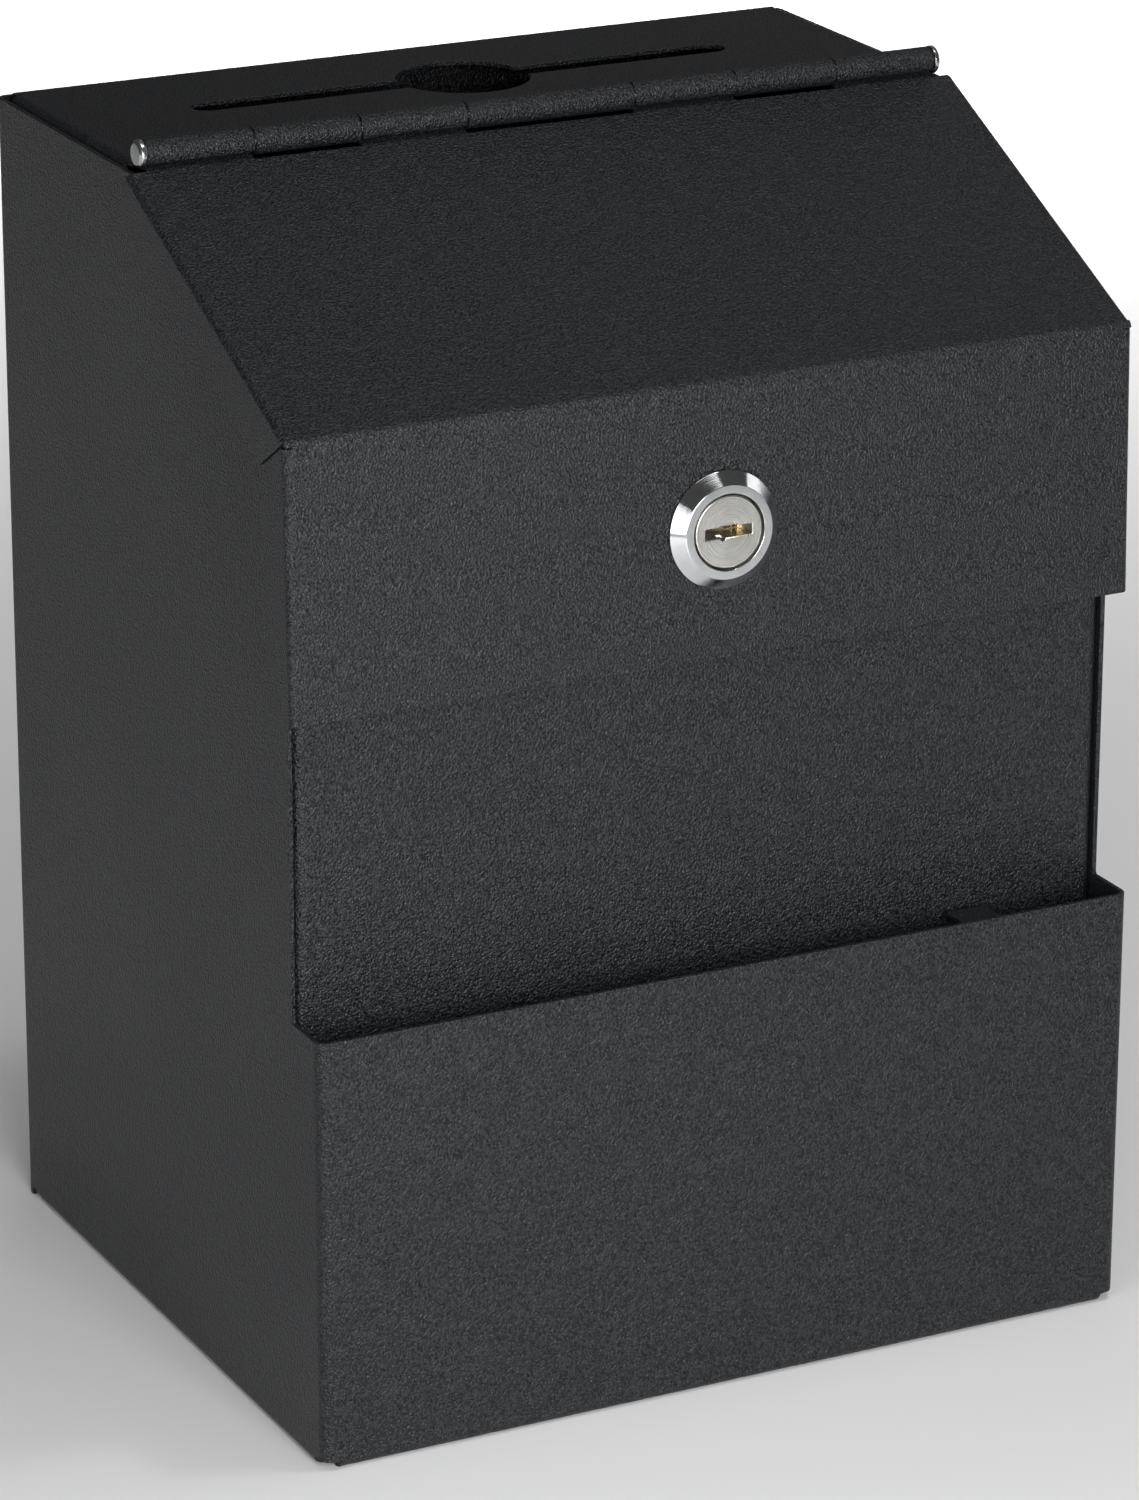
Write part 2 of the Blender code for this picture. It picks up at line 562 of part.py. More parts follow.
def build_lid_panel(pin_frame):
    """Slanted top, front and side flanges in one sheet, rolled into the lid's knuckles."""
    middle = SHEET / 2
    turn = SLOPE_DOWN.angle(FRONT_DOWN)
    fold = LID_FOLD - SLOPE_OUT * middle - SLOPE_DOWN * middle * math.tan(turn / 2)
    edge = LID_EDGE - FRONT_OUT * middle
    roll = arc(PIN, ROLL_R, LID_SLOPE - 90, ROLL_SWEEP, ROLL_STEPS)
    path = list(reversed(roll)) + rounded([roll[0], fold, edge], LID_FOLD_R - middle)[1:]
    lid = sheet("lid_panel", path, -LID_HALF + STEP, LID_HALF - STEP, "YZ")

    at_pin = tilted(SLOPE_DOWN, PIN)
    outline, corner, inner = lid_flange_outline()
    for side in (-1, 1):
        faces = sorted((side * (LID_HALF - SHEET), side * LID_HALF))
        join(lid, plate(f"lid_flange_{side}", outline, faces[0], faces[1], "X"))
        past = side * (LID_HALF + MARGIN)
        start = side * BARREL_HALF
        cut(lid, block(f"lid_end_cutter_{side}", (min(start, past), -NOTCH_R, -MARGIN),
                       (max(start, past), MARGIN, MARGIN), at_pin))
    reach = inner - corner
    along = reach.normalized()
    mitre = tilted(along, corner)
    for side in (-1, 1):
        faces = sorted((side * (LID_HALF - 1.5 * SHEET), side * (LID_HALF + MARGIN)))
        cut(lid, block(f"mitre_cutter_{side}", (faces[0], -reach.length - MARGIN, -MITRE_WIDTH / 2),
                       (faces[1], -SHEET, MITRE_WIDTH / 2), mitre))
    for number, (left, right) in enumerate(knuckles("body"), 1):
        cut(lid, block(f"lid_notch_{number}", (left - KNUCKLE_GAP, -NOTCH_R, -MARGIN),
                       (right + KNUCKLE_GAP, MARGIN, MARGIN), at_pin))
    hole = rod("lock_hole_cutter", LOCK_BODY_R + LOCK_PLAY, -MARGIN / 2, MARGIN / 2, "Y", sides=40)
    for side in (-1, 1):
        faces = sorted((side * (LOCK_FLAT + LOCK_PLAY), side * MARGIN))
        cut(hole, block(f"lock_hole_flat_{side}", (faces[0], -MARGIN, -MARGIN), (faces[1], MARGIN, MARGIN)),
            parent=LOCK_FRAME)
    boolean(lid, as_cutter(hole, LOCK_FRAME), "DIFFERENCE")
    lid.data.transform(Matrix.Translation(-pin_frame.location))
    as_part(lid, powder_coat("lid_panel"), pin_frame)


# --- lock --------------------------------------------------------------------------------------
def lock_piece(thing, finish, on_lid_face=True):
    """Stand a piece that is turned about Z on the lock's axis, with Z pointing out of the lid."""
    if on_lid_face:
        thing.rotation_euler = (math.pi / 2, 0, 0)
    return as_part(thing, finish, LOCK_FRAME)


def lock_block(name, low, high):
    """A hidden block in the lock's axes: x across, y inwards, z up."""
    return as_cutter(block(name, low, high), LOCK_FRAME)


def build_lock_housing():
    """Chromed bezel and threaded body with two flats, bored for the plug."""
    face_bore = PLUG_FACE_R + PLUG_FACE_PLAY
    seat = BEZEL_HEIGHT - PLUG_SINK - PLUG_FACE_T - FIT
    bore = PLUG_R + PLUG_PLAY
    profile = [(face_bore, BEZEL_HEIGHT), (BEZEL_FACE_R, BEZEL_HEIGHT), (BEZEL_R, BEZEL_RIM),
               (BEZEL_R, FIT), (LOCK_BODY_R, FIT), (LOCK_BODY_R, -LOCK_BODY_LENGTH),
               (bore, -LOCK_BODY_LENGTH), (bore, seat), (face_bore, seat)]
    housing = turned("lock_housing", profile, 56)
    for side in (-1, 1):
        faces = sorted((side * LOCK_FLAT, side * MARGIN))
        boolean(housing, lock_block(f"housing_flat_{side}", (faces[0], 0, -MARGIN),
                                    (faces[1], 2 * MARGIN, MARGIN)), "DIFFERENCE")
    lock_piece(housing, chrome("lock_housing"))


def build_lock_fixings():
    """Washer and hexagon nut behind the lid."""
    bore = LOCK_BODY_R + LOCK_PLAY
    top = -(SHEET + FIT)
    below = top - WASHER_T
    washer = turned("lock_washer", [(bore, top), (WASHER_R, top), (WASHER_R, below), (bore, below)], 40)
    lock_piece(washer, zinc("lock_washer"))
    nut = rod("lock_nut", NUT_CORNER_R, NUT_FROM - FIT - NUT_T, NUT_FROM - FIT, "Z", sides=6)
    bore_cutter = rod("nut_bore_cutter", bore, -MARGIN, MARGIN, "Z", sides=40)
    bore_cutter.rotation_euler = (math.pi / 2, 0, 0)
    boolean(nut, as_cutter(bore_cutter, LOCK_FRAME), "DIFFERENCE")
    lock_piece(nut, zinc("lock_nut"))


def wafer_depth(number):
    return WAFER_FIRST + WAFER_PITCH * number


def wafer_shift(number):
    return WAFER_SHIFT * (-1) ** number


def build_lock_plug():
    """The turning plug: face, keyway, wafer slots, square tail and screw hole."""
    face = BEZEL_HEIGHT - PLUG_SINK
    shoulder = face - PLUG_FACE_T
    end = STOP_FROM + PLUG_PLAY
    plug = turned("lock_plug", [(0, face), (PLUG_FACE_R, face), (PLUG_FACE_R, shoulder), (PLUG_R, shoulder),
                                (PLUG_R, end), (0, end)], 48)
    tail_end = CAM_FROM - CAM_T + FIT
    boolean(plug, lock_block("plug_tail", (-TAIL_HALF, -end - SHEET, -TAIL_HALF),
                             (TAIL_HALF, -tail_end, TAIL_HALF)), "UNION")
    boolean(plug, lock_block("keyway_cutter", (-KEYWAY_LENGTH / 2, -MARGIN, -KEYWAY_WIDTH / 2),
                             (KEYWAY_LENGTH / 2, KEYWAY_DEPTH, KEYWAY_WIDTH / 2)), "DIFFERENCE")
    recess = plate("thumb_recess_cutter", arc((0, 0), THUMB_RECESS_R, 0, 180, 16),
                   -face - SHEET, -face + THUMB_RECESS_DEPTH, "Y")
    boolean(plug, as_cutter(recess, LOCK_FRAME), "DIFFERENCE")
    for number in range(WAFER_COUNT):
        depth, half = wafer_depth(number), WAFER_T / 2 + WAFER_PLAY
        across = WAFER_HALF_Z + WAFER_PLAY
        boolean(plug, lock_block(f"wafer_slot_{number + 1}", (-MARGIN, depth - half, -across),
                                 (MARGIN, depth + half, across)), "DIFFERENCE")
        floor, half = -across - LUG_DROP - WAFER_PLAY, SPRING_POCKET_T / 2
        pocket = lock_block(f"spring_pocket_{number + 1}", (-SPRING_POCKET_HALF, depth - half, floor),
                            (SPRING_POCKET_HALF, depth + half, -across / 2))
        boolean(plug, pocket, "DIFFERENCE")
    bottom = -tail_end - SCREW_LENGTH
    screw_hole = rod("screw_hole_cutter", SCREW_R + PIN_PLAY, bottom, MARGIN * 2, "Y", sides=20)
    boolean(plug, as_cutter(screw_hole, LOCK_FRAME), "DIFFERENCE")
    lock_piece(plug, zinc("lock_plug"))


def build_wafers():
    """Brass wafers, each with a window for the key, pushed to one side in turn."""
    for number in range(WAFER_COUNT):
        depth, shift = wafer_depth(number), wafer_shift(number)
        wafer = block(f"lock_wafer_{number + 1}",
                      (shift - WAFER_HALF_X, depth - WAFER_T / 2, -WAFER_HALF_Z),
                      (shift + WAFER_HALF_X, depth + WAFER_T / 2, WAFER_HALF_Z))
        window = lock_block(f"wafer_window_{number + 1}",
                            (shift - WAFER_WINDOW_X, depth - MARGIN, -WAFER_WINDOW_Z),
                            (shift + WAFER_WINDOW_X, depth + MARGIN, WAFER_WINDOW_Z))
        boolean(wafer, window, "DIFFERENCE")
        left, half = shift + LUG_FROM, (WAFER_T - STEP) / 2
        lug = lock_block(f"wafer_lug_{number + 1}", (left, depth - half, -WAFER_HALF_Z - LUG_DROP),
                         (left + LUG_WIDTH, depth + half, -WAFER_WINDOW_Z - STEP))
        boolean(wafer, lug, "UNION")
        lock_piece(wafer, brass(f"lock_wafer_{number + 1}"), False)


def build_wafer_springs():
    """A coil spring beside each wafer, between its pocket's end and the wafer's lug."""
    steps_per_turn = 10
    steps = int(SPRING_TURNS * steps_per_turn)
    level = -WAFER_HALF_Z - LUG_DROP / 2
    start = -SPRING_POCKET_HALF + SPRING_WIRE_R + WAFER_PLAY
    for number in range(WAFER_COUNT):
        end = LUG_FROM + wafer_shift(number) - SPRING_WIRE_R - WAFER_PLAY
        curve = bpy.data.curves.new(f"lock_spring_{number + 1}", "CURVE")
        curve.dimensions = "3D"
        curve.bevel_depth = SPRING_WIRE_R
        curve.bevel_resolution = 2
        curve.use_fill_caps = True
        spline = curve.splines.new("POLY")
        spline.points.add(steps)
        for step, point in enumerate(spline.points):
            turn = 2 * math.pi * step / steps_per_turn
            across = start + (end - start) * step / steps
            point.co = (across, wafer_depth(number) + SPRING_COIL_R * math.cos(turn),
                        level + SPRING_COIL_R * math.sin(turn), 1)
        spring = bpy.data.objects.new(f"lock_spring_{number + 1}", curve)
        place(spring, PARTS, LOCK_FRAME)
        curve.materials.append(zinc(f"lock_spring_{number + 1}"))


def build_cam_stack():
    """Stop washer, cam, star washer and screw on the plug's tail."""
    tail = TAIL_HALF + LOCK_PLAY
    tail_cutter = lock_block("tail_hole_cutter", (-tail, 0, -tail), (tail, 2 * MARGIN, tail))
    stop = rod("lock_stop_washer", STOP_R, -STOP_FROM, -STOP_FROM + STOP_T, "Y", sides=32)
    boolean(stop, lock_block("stop_lug", (-STOP_LUG / 2, -STOP_FROM, 0),
                             (STOP_LUG / 2, -STOP_FROM + STOP_T, STOP_R + STOP_LUG / 2)), "UNION")
    boolean(stop, tail_cutter, "DIFFERENCE")
    lock_piece(stop, zinc("lock_stop_washer"), False)

    half = CAM_WIDTH / 2
    tip_half = half * 0.8
    outline = arc((0, 0), half, 90, 180, 12)
    arm = [(0, -half), (CAM_REACH, -tip_half), (CAM_REACH, tip_half), (0, half)]
    outline += rounded(arm, tip_half / 2)[1:-1]
    cam = plate("lock_cam", outline, -CAM_FROM, -CAM_FROM + CAM_T, "Y")
    boolean(cam, tail_cutter, "DIFFERENCE")
    lock_piece(cam, zinc("lock_cam"), False)

    bore, below = SCREW_R + LOCK_PLAY, STAR_FROM - STAR_WASHER_T
    washer = turned("lock_star_washer", [(bore, STAR_FROM), (STAR_WASHER_R, STAR_FROM),
                                         (STAR_WASHER_R, below), (bore, below)], 24)
    lock_piece(washer, zinc("lock_star_washer"))

    tip = SCREW_FROM + SCREW_LENGTH
    end = SCREW_FROM - SCREW_HEAD_T
    shoulder = end + SCREW_HEAD_T / 2
    profile = [(0, tip), (SCREW_R, tip), (SCREW_R, SCREW_FROM), (SCREW_HEAD_R, SCREW_FROM),
               (SCREW_HEAD_R, shoulder), (SCREW_HEAD_R * 0.7, end), (0, end)]
    screw = turned("lock_screw", profile, 24)
    arm, slit = SCREW_HEAD_R * 0.55, SCREW_CROSS / 2
    for name, across, up in (("screw_cross_a", arm, slit), ("screw_cross_b", slit, arm)):
        groove = lock_block(name, (-across, -end - SCREW_HEAD_T / 2, -up), (across, -end + SHEET, up))
        boolean(screw, groove, "DIFFERENCE")
    lock_piece(screw, zinc("lock_screw"))


# --- assembly ----------------------------------------------------------------------------------
clear_scene()
PARTS = new_collection("donation_box")
CUTTERS = new_collection("cutters")

PIN_FRAME = bpy.data.objects.new("lid_pivot", None)
PARTS.objects.link(PIN_FRAME)
PIN_FRAME.location = (0, PIN_Y, PIN_Z)
LOCK_FRAME = bpy.data.objects.new("lock_pivot", None)
PARTS.objects.link(LOCK_FRAME)
LOCK_FRAME.parent = PIN_FRAME
LOCK_FRAME.location = (0, LOCK_AT.x - PIN_Y, LOCK_AT.y - PIN_Z)
LOCK_FRAME.rotation_euler = (-LEAN, 0, 0)
bpy.context.view_layer.update()

build_outer_shell()
build_top_and_back_panel()
build_inner_front_panel()
build_bottom_panel()
build_pocket_divider()
build_hinge_pin(PIN_FRAME)
build_lid_panel(PIN_FRAME)
build_lock_housing()
build_lock_fixings()
build_lock_plug()
build_wafers()
build_wafer_springs()
build_cam_stack()
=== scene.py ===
"""Looks of a steel donation box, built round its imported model.

Metres, +Z up.  The box stands on z = 0, its pocket and lock face -Y and the wall is at +Y.  Every sheet
piece is drawn as the flat blank that a sheet-metal shop cuts, with its edges eased, and is then folded
bend by bend, so bends, knuckles, notches and slits are real shape.
"""
import json
import logging
import math
from dataclasses import dataclass, field, replace
from enum import Enum

import bmesh
import bpy
from mathutils import Matrix, Vector
from mathutils.geometry import tessellate_polygon


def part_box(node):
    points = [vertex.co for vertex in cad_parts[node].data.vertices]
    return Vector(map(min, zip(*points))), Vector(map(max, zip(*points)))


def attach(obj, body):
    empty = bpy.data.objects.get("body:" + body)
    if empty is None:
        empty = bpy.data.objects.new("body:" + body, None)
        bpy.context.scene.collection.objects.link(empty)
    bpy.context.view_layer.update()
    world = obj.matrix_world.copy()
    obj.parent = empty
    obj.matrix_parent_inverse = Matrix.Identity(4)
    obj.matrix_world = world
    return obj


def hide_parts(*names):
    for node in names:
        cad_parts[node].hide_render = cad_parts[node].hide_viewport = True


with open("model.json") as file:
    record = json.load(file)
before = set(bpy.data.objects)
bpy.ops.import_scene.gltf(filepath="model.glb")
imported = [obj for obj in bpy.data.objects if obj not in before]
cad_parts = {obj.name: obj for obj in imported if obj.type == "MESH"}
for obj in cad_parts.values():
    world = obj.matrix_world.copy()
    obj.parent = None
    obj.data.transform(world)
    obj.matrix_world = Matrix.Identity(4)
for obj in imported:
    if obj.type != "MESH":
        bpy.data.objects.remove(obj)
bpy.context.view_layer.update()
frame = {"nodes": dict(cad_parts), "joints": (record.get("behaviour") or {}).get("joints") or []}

LOG = logging.getLogger("donation_box")
MM = 0.001
RIGHT_ANGLE = math.pi / 2

Point = tuple[float, float]
Corner = tuple[float, float, float]     # u, v and the radius that the corner is rounded to
Loop = list[Point]
Colour = tuple[float, float, float]
Socket = bpy.types.NodeSocket
Feed = Socket | float | tuple[float, ...] | Vector


class Across(Enum):
    """Which flat coordinate a fold or a cutting line is measured along."""

    U = 0
    V = 1


class Turn(Enum):
    """Which way round a closed loop runs."""

    LEFT = 1
    RIGHT = -1


# --- drawing flat outlines -----------------------------------------------------------------------
def eased(corners: list[Corner], steps: int = 5) -> Loop:
    """Round every corner of a closed outline to its own radius.

    Args:
        corners: corners in order, each with its radius; a radius of 0 leaves a point as it is.
        steps: straight pieces in each rounding.

    Returns:
        The outline's points, in the same order.
    """
    loop: Loop = []
    count = len(corners)
    for index, (u, v, radius) in enumerate(corners):
        corner = Vector((u, v))
        if radius <= 0:
            loop.append((u, v))
            continue
        arrive = Vector(corners[index - 1][:2]) - corner
        leave = Vector(corners[(index + 1) % count][:2]) - corner
        half = arrive.angle(leave) / 2
        setback = min(radius / math.tan(half), 0.49 * arrive.length, 0.49 * leave.length)
        true_radius = setback * math.tan(half)
        middle = (arrive.normalized() + leave.normalized()).normalized()
        centre = corner + middle * true_radius / math.sin(half)
        first = corner + arrive.normalized() * setback - centre
        last = corner + leave.normalized() * setback - centre
        swing = math.atan2(first.x * last.y - first.y * last.x, first.dot(last))
        for step in range(steps + 1):
            spot = centre + Matrix.Rotation(swing * step / steps, 2) @ first
            loop.append((spot.x, spot.y))
    return loop


def arc(centre: Point, radius: float, start: float, sweep: float, steps: int) -> Loop:
    """Points on an arc.

    Args:
        centre: the arc's centre.
        radius: its radius.
        start: bearing of its first point, in degrees.
        sweep: degrees that it turns through, positive to the left.
        steps: straight pieces in it.

    Returns:
        steps + 1 points.
    """
    bearings = [math.radians(start + sweep * step / steps) for step in range(steps + 1)]
    return [(centre[0] + radius * math.cos(b), centre[1] + radius * math.sin(b)) for b in bearings]


def circle(centre: Point, radius: float, steps: int = 48) -> Loop:
    """A closed round outline."""
    return arc(centre, radius, 0, 360, steps)[:-1]


def mirrored(chain: list[Corner]) -> list[Corner]:
    """Close a chain of corners that runs down the +u side with its mirror image on the -u side."""
    return chain + [(-u, v, radius) for u, v, radius in reversed(chain)]


def turned_to(loop: Loop, turn: Turn) -> Loop:
    """Return a closed loop that runs the given way round."""
    area = sum(a[0] * b[1] - b[0] * a[1] for a, b in zip(loop, loop[1:] + loop[:1]))
    return loop if area * turn.value > 0 else loop[::-1]


def outward_normals(loop: Loop) -> tuple[list[Vector], list[Vector]]:
    """Work out how a loop is offset and shaded.

    Args:
        loop: a closed loop with the material on its left.

    Returns:
        For every point, the mitred offset away from the material for an offset of 1, and the unit
        normal for shading, in which the longer of the two neighbouring edges counts for more.
    """
    offsets, normals = [], []
    count = len(loop)
    for index in range(count):
        before, here, after = (Vector(loop[(index + k) % count]) for k in (-1, 0, 1))
        first, second = here - before, after - here
        one = Vector((first.y, -first.x)).normalized()
        two = Vector((second.y, -second.x)).normalized()
        offsets.append((one + two) / max(0.3, 1 + one.dot(two)))
        normals.append((one * first.length + two * second.length).normalized())
    return offsets, normals


# --- folding sheet -------------------------------------------------------------------------------
@dataclass(frozen=True)
class Fold:
    """One press-brake bend.

    Attributes:
        across: the flat coordinate that the bend line is measured along.
        at: where the bend starts, on that coordinate.
        side: +1 where the greater coordinates move, -1 where the lesser ones do.
        degrees: angle of the bend, positive towards the blank's outer face.
        radius: bend radius at the middle of the sheet.
        steps: straight pieces in the bend.
        low: the other coordinate's lower limit, where only part of the blank is bent.
        high: its upper limit.
    """

    across: Across
    at: float
    side: int
    degrees: float
    radius: float
    steps: int = 8
    low: float = -1.0
    high: float = 1.0

    @property
    def length(self) -> float:
        """Sheet that the bend uses up, at its middle."""
        return self.radius * abs(math.radians(self.degrees))

    def stations(self) -> list[float]:
        """Flat coordinates at which the blank has to have an edge."""
        return [self.at + self.side * self.length * step / self.steps for step in range(self.steps + 1)]

    def bend(self, flat: Vector, spot: Vector, normal: Vector) -> None:
        """Carry one point of the blank through this bend.

        Args:
            flat: where the point lies on the flat blank.
            spot: where earlier bends have put it; changed in place.
            normal: its normal; changed in place.
        """
        along = self.across.value
        other = flat[1 - along]
        reach = self.side * (flat[along] - self.at)
        if reach <= 0 or not self.low <= other <= self.high:
            return
        used = min(reach, self.length)
        angle = used / self.radius
        sign = 1 if self.degrees > 0 else -1
        cosine, sine = math.cos(angle), math.sin(angle)
        ahead = self.side * (spot[along] - self.at) - used
        above = sign * spot.z - self.radius
        spot[along] = self.at + self.side * (ahead * cosine - above * sine)
        spot.z = sign * (ahead * sine + above * cosine + self.radius)
        ahead, above = self.side * normal[along], sign * normal.z
        normal[along] = self.side * (ahead * cosine - above * sine)
        normal.z = sign * (ahead * sine + above * cosine)


@dataclass
class Blank:
    """A flat sheet with eased edges that is folded into a piece.

    Attributes:
        outline: its outer edge.
        holes: edges of its holes.
        folds: bends, from the outermost to the innermost.
        thickness: of the sheet.
        ease: radius of its eased edges.
        lip_steps: straight pieces in the rounding of an edge.
    """

    outline: Loop
    holes: list[Loop] = field(default_factory=list)
    folds: list[Fold] = field(default_factory=list)
    thickness: float = 1.0 * MM
    ease: float = 0.2 * MM
    lip_steps: int = 3

    def lip(self) -> list[tuple[float, float, float]]:
        """Rings of an eased edge: inset, height, and bearing of the normal above the sheet.

        Returns:
            Pairs of inset and height that round a cut edge over.
        """
        half = self.thickness / 2
        upper = []
        for step in range(self.lip_steps + 1):
            bearing = RIGHT_ANGLE * step / self.lip_steps
            inset = self.ease * (1 - math.cos(bearing))
            upper.append((inset, half - self.ease + self.ease * math.sin(bearing), bearing))
        return [(inset, -height, -bearing) for inset, height, bearing in reversed(upper)] + upper

    def shape(self) -> bmesh.types.BMesh:
        """Return the flat blank as a closed mesh whose vertices carry their normals.

        Returns:
            The flat blank as a closed mesh.
        """
        flat = bmesh.new()
        layer = flat.verts.layers.float_vector.new("normal")
        loops = [turned_to(self.outline, Turn.LEFT)]
        loops += [turned_to(hole, Turn.RIGHT) for hole in self.holes]
        rings = self.lip()
        caps: dict[int, list] = {0: [], len(rings) - 1: []}
        for loop in loops:
            offsets, normals = outward_normals(loop)
            strips = []
            for index, (inset, height, bearing) in enumerate(rings):
                strip = []
                for point, offset, normal in zip(loop, offsets, normals):
                    spot = flat.verts.new((point[0] - offset.x * inset, point[1] - offset.y * inset, height))
                    cosine = math.cos(bearing)
                    spot[layer] = Vector((normal.x * cosine, normal.y * cosine, math.sin(bearing)))
                    strip.append(spot)
                strips.append(strip)
                if index in caps:
                    caps[index].append(strip)
            for low, high in zip(strips, strips[1:]):
                for index in range(len(loop)):
                    after = (index + 1) % len(loop)
                    flat.faces.new((low[index], low[after], high[after], high[index]))
        for index, cap in caps.items():
            corners = [corner for strip in cap for corner in strip]
            triangles = tessellate_polygon([[corner.co.xy.to_3d() for corner in strip] for strip in cap])
            upwards = index > 0
            for triangle in triangles:
                three = [corners[i] for i in triangle]
                one, two = three[1].co - three[0].co, three[2].co - three[0].co
                if (one.x * two.y - one.y * two.x > 0) != upwards:
                    three.reverse()
                flat.faces.new(three)
        return flat

    def build(self, name: str, place: Matrix) -> bpy.types.Object:
        """Fold the blank and stand it in its place.

        Args:
            name: of the new object.
            place: from the blank's u, v and outward directions to the box's x, y and z.

        Returns:
            The piece, with the normals of a smoothly bent sheet.
        """
        sheet = self.shape()
        layer = sheet.verts.layers.float_vector["normal"]
        cuts = sorted({(f.across.value, round(s, 9)) for f in self.folds for s in f.stations()})
        for along, station in cuts:
            spot, way = Vector((0, 0, 0)), Vector((0, 0, 0))
            spot[along], way[along] = station, 1.0
            bmesh.ops.bisect_plane(sheet, geom=[*sheet.verts, *sheet.edges, *sheet.faces], dist=1e-7,
                                   plane_co=spot, plane_no=way)
        turn = place.to_3x3()
        normals = []
        for vertex in sheet.verts:
            flat, spot, normal = vertex.co.copy(), vertex.co.copy(), vertex[layer].copy()
            for fold in self.folds:
                fold.bend(flat, spot, normal)
            vertex.co = place @ spot
            normals.append((turn @ normal).normalized())
        return mesh_object(name, sheet, normals)


def mesh_object(name: str, shape: bmesh.types.BMesh, normals: list[Vector] | None = None) -> bpy.types.Object:
    """Make an object of a bmesh and free the bmesh.

    Args:
        name: of the object.
        shape: what it is made of.
        normals: one normal for each vertex, where they are known exactly.

    Returns:
        The object, linked to the scene and shaded smooth.
    """
    data = bpy.data.meshes.new(name)
    shape.to_mesh(data)
    shape.free()
    data.shade_smooth()
    if normals is not None:
        data.normals_split_custom_set_from_vertices(normals)
        layer = data.attributes.get("normal")
        if layer is not None:
            data.attributes.remove(layer)
    thing = bpy.data.objects.new(name, data)
    bpy.context.scene.collection.objects.link(thing)
    return thing


def settle(thing: bpy.types.Object, sharp: float = 35.0) -> bpy.types.Object:
    """Apply an object's modifiers and place, and shade it with face-weighted normals.

    Args:
        thing: an object with live modifiers.
        sharp: degrees between faces from which an edge stays crisp.

    Returns:
        The same object, plain, at the origin.
    """
    for pass_number in range(2):
        seen = thing.evaluated_get(bpy.context.evaluated_depsgraph_get())
        data = bpy.data.meshes.new_from_object(seen)
        thing.modifiers.clear()
        thing.data = data
        if pass_number == 0:
            data.transform(thing.matrix_world)
            thing.matrix_world = Matrix.Identity(4)
            data.shade_smooth()
            data.set_sharp_from_angle(angle=math.radians(sharp))
            weigh = thing.modifiers.new("weigh", "WEIGHTED_NORMAL")
            weigh.keep_sharp = True
    return thing


def turned_piece(name: str, profile: Loop, place: Matrix, sides: int = 96) -> bpy.types.Object:
    """Turn a closed profile about an axis, as on a lathe.

    Args:
        name: of the object.
        profile: (radius, height) points; points on the axis have a radius of 0.
        place: from turning axes, with Z along the axis, to the box's.
        sides: flats round the piece.

    Returns:
        The piece.
    """
    shape = bmesh.new()
    rings = []
    for radius, height in profile:
        if radius < 1e-9:
            rings.append([shape.verts.new((0, 0, height))])
        else:
            rings.append([shape.verts.new((x, y, height)) for x, y in circle((0, 0), radius, sides)])
    pairs = list(zip(rings, rings[1:]))
    if len(rings[0]) > 1 and len(rings[-1]) > 1:
        pairs.append((rings[-1], rings[0]))
    for one, two in pairs:
        for index in range(sides):
            after = (index + 1) % sides
            corners = [one[index % len(one)], one[after % len(one)], two[after % len(two)], two[index % len(two)]]
            whole = list(dict.fromkeys(corners))
            if len(whole) > 2:
                shape.faces.new(whole)
    bmesh.ops.recalc_face_normals(shape, faces=shape.faces)
    bmesh.ops.transform(shape, matrix=place, verts=shape.verts)
    return settle(mesh_object(name, shape))


# --- the box's sheets ----------------------------------------------------------------------------
@dataclass
class BoxSizes:
    """Sizes that the sheet pieces share."""

    half: float = 91.5 * MM
    back_y: float = 77.5 * MM
    top_z: float = 246.0 * MM
    sheet: float = 1.0 * MM
    fit: float = 0.3 * MM
    front_panel_y: float = -64.7 * MM
    pocket_height: float = 91.5 * MM
    pin_y: float = 7.0 * MM
    pin_z: float = 248.6 * MM
    barrel_half: float = 88.6 * MM
    knuckle_r: float = 2.8 * MM
    knuckle_splits: tuple[float, ...] = (18.8 * MM, 42.3 * MM, 65.5 * MM)
    knuckle_gap: float = 0.16 * MM
    notch_r: float = 3.3 * MM
    roll_degrees: float = 285.0
    slope: float = math.radians(25.4)
    lean: float = math.radians(1.8)

    @property
    def roll_r(self) -> float:
        """Radius of the rolled knuckles at the middle of the sheet."""
        return self.knuckle_r - self.sheet / 2

    @property
    def roll_length(self) -> float:
        """Sheet that a knuckle uses up."""
        return self.roll_r * math.radians(self.roll_degrees)

    def roll(self, at: float, side: int) -> Fold:
        """The bend that makes knuckles of the tabs beyond a line."""
        return Fold(Across.V, at, side, self.roll_degrees, self.roll_r, 32)


def frame_of(right: Vector, up: Vector, out: Vector, origin: Vector) -> Matrix:
    """A placing matrix made of a blank's three directions and its origin."""
    return Matrix.Translation(origin) @ Matrix((right, up, out)).transposed().to_4x4()


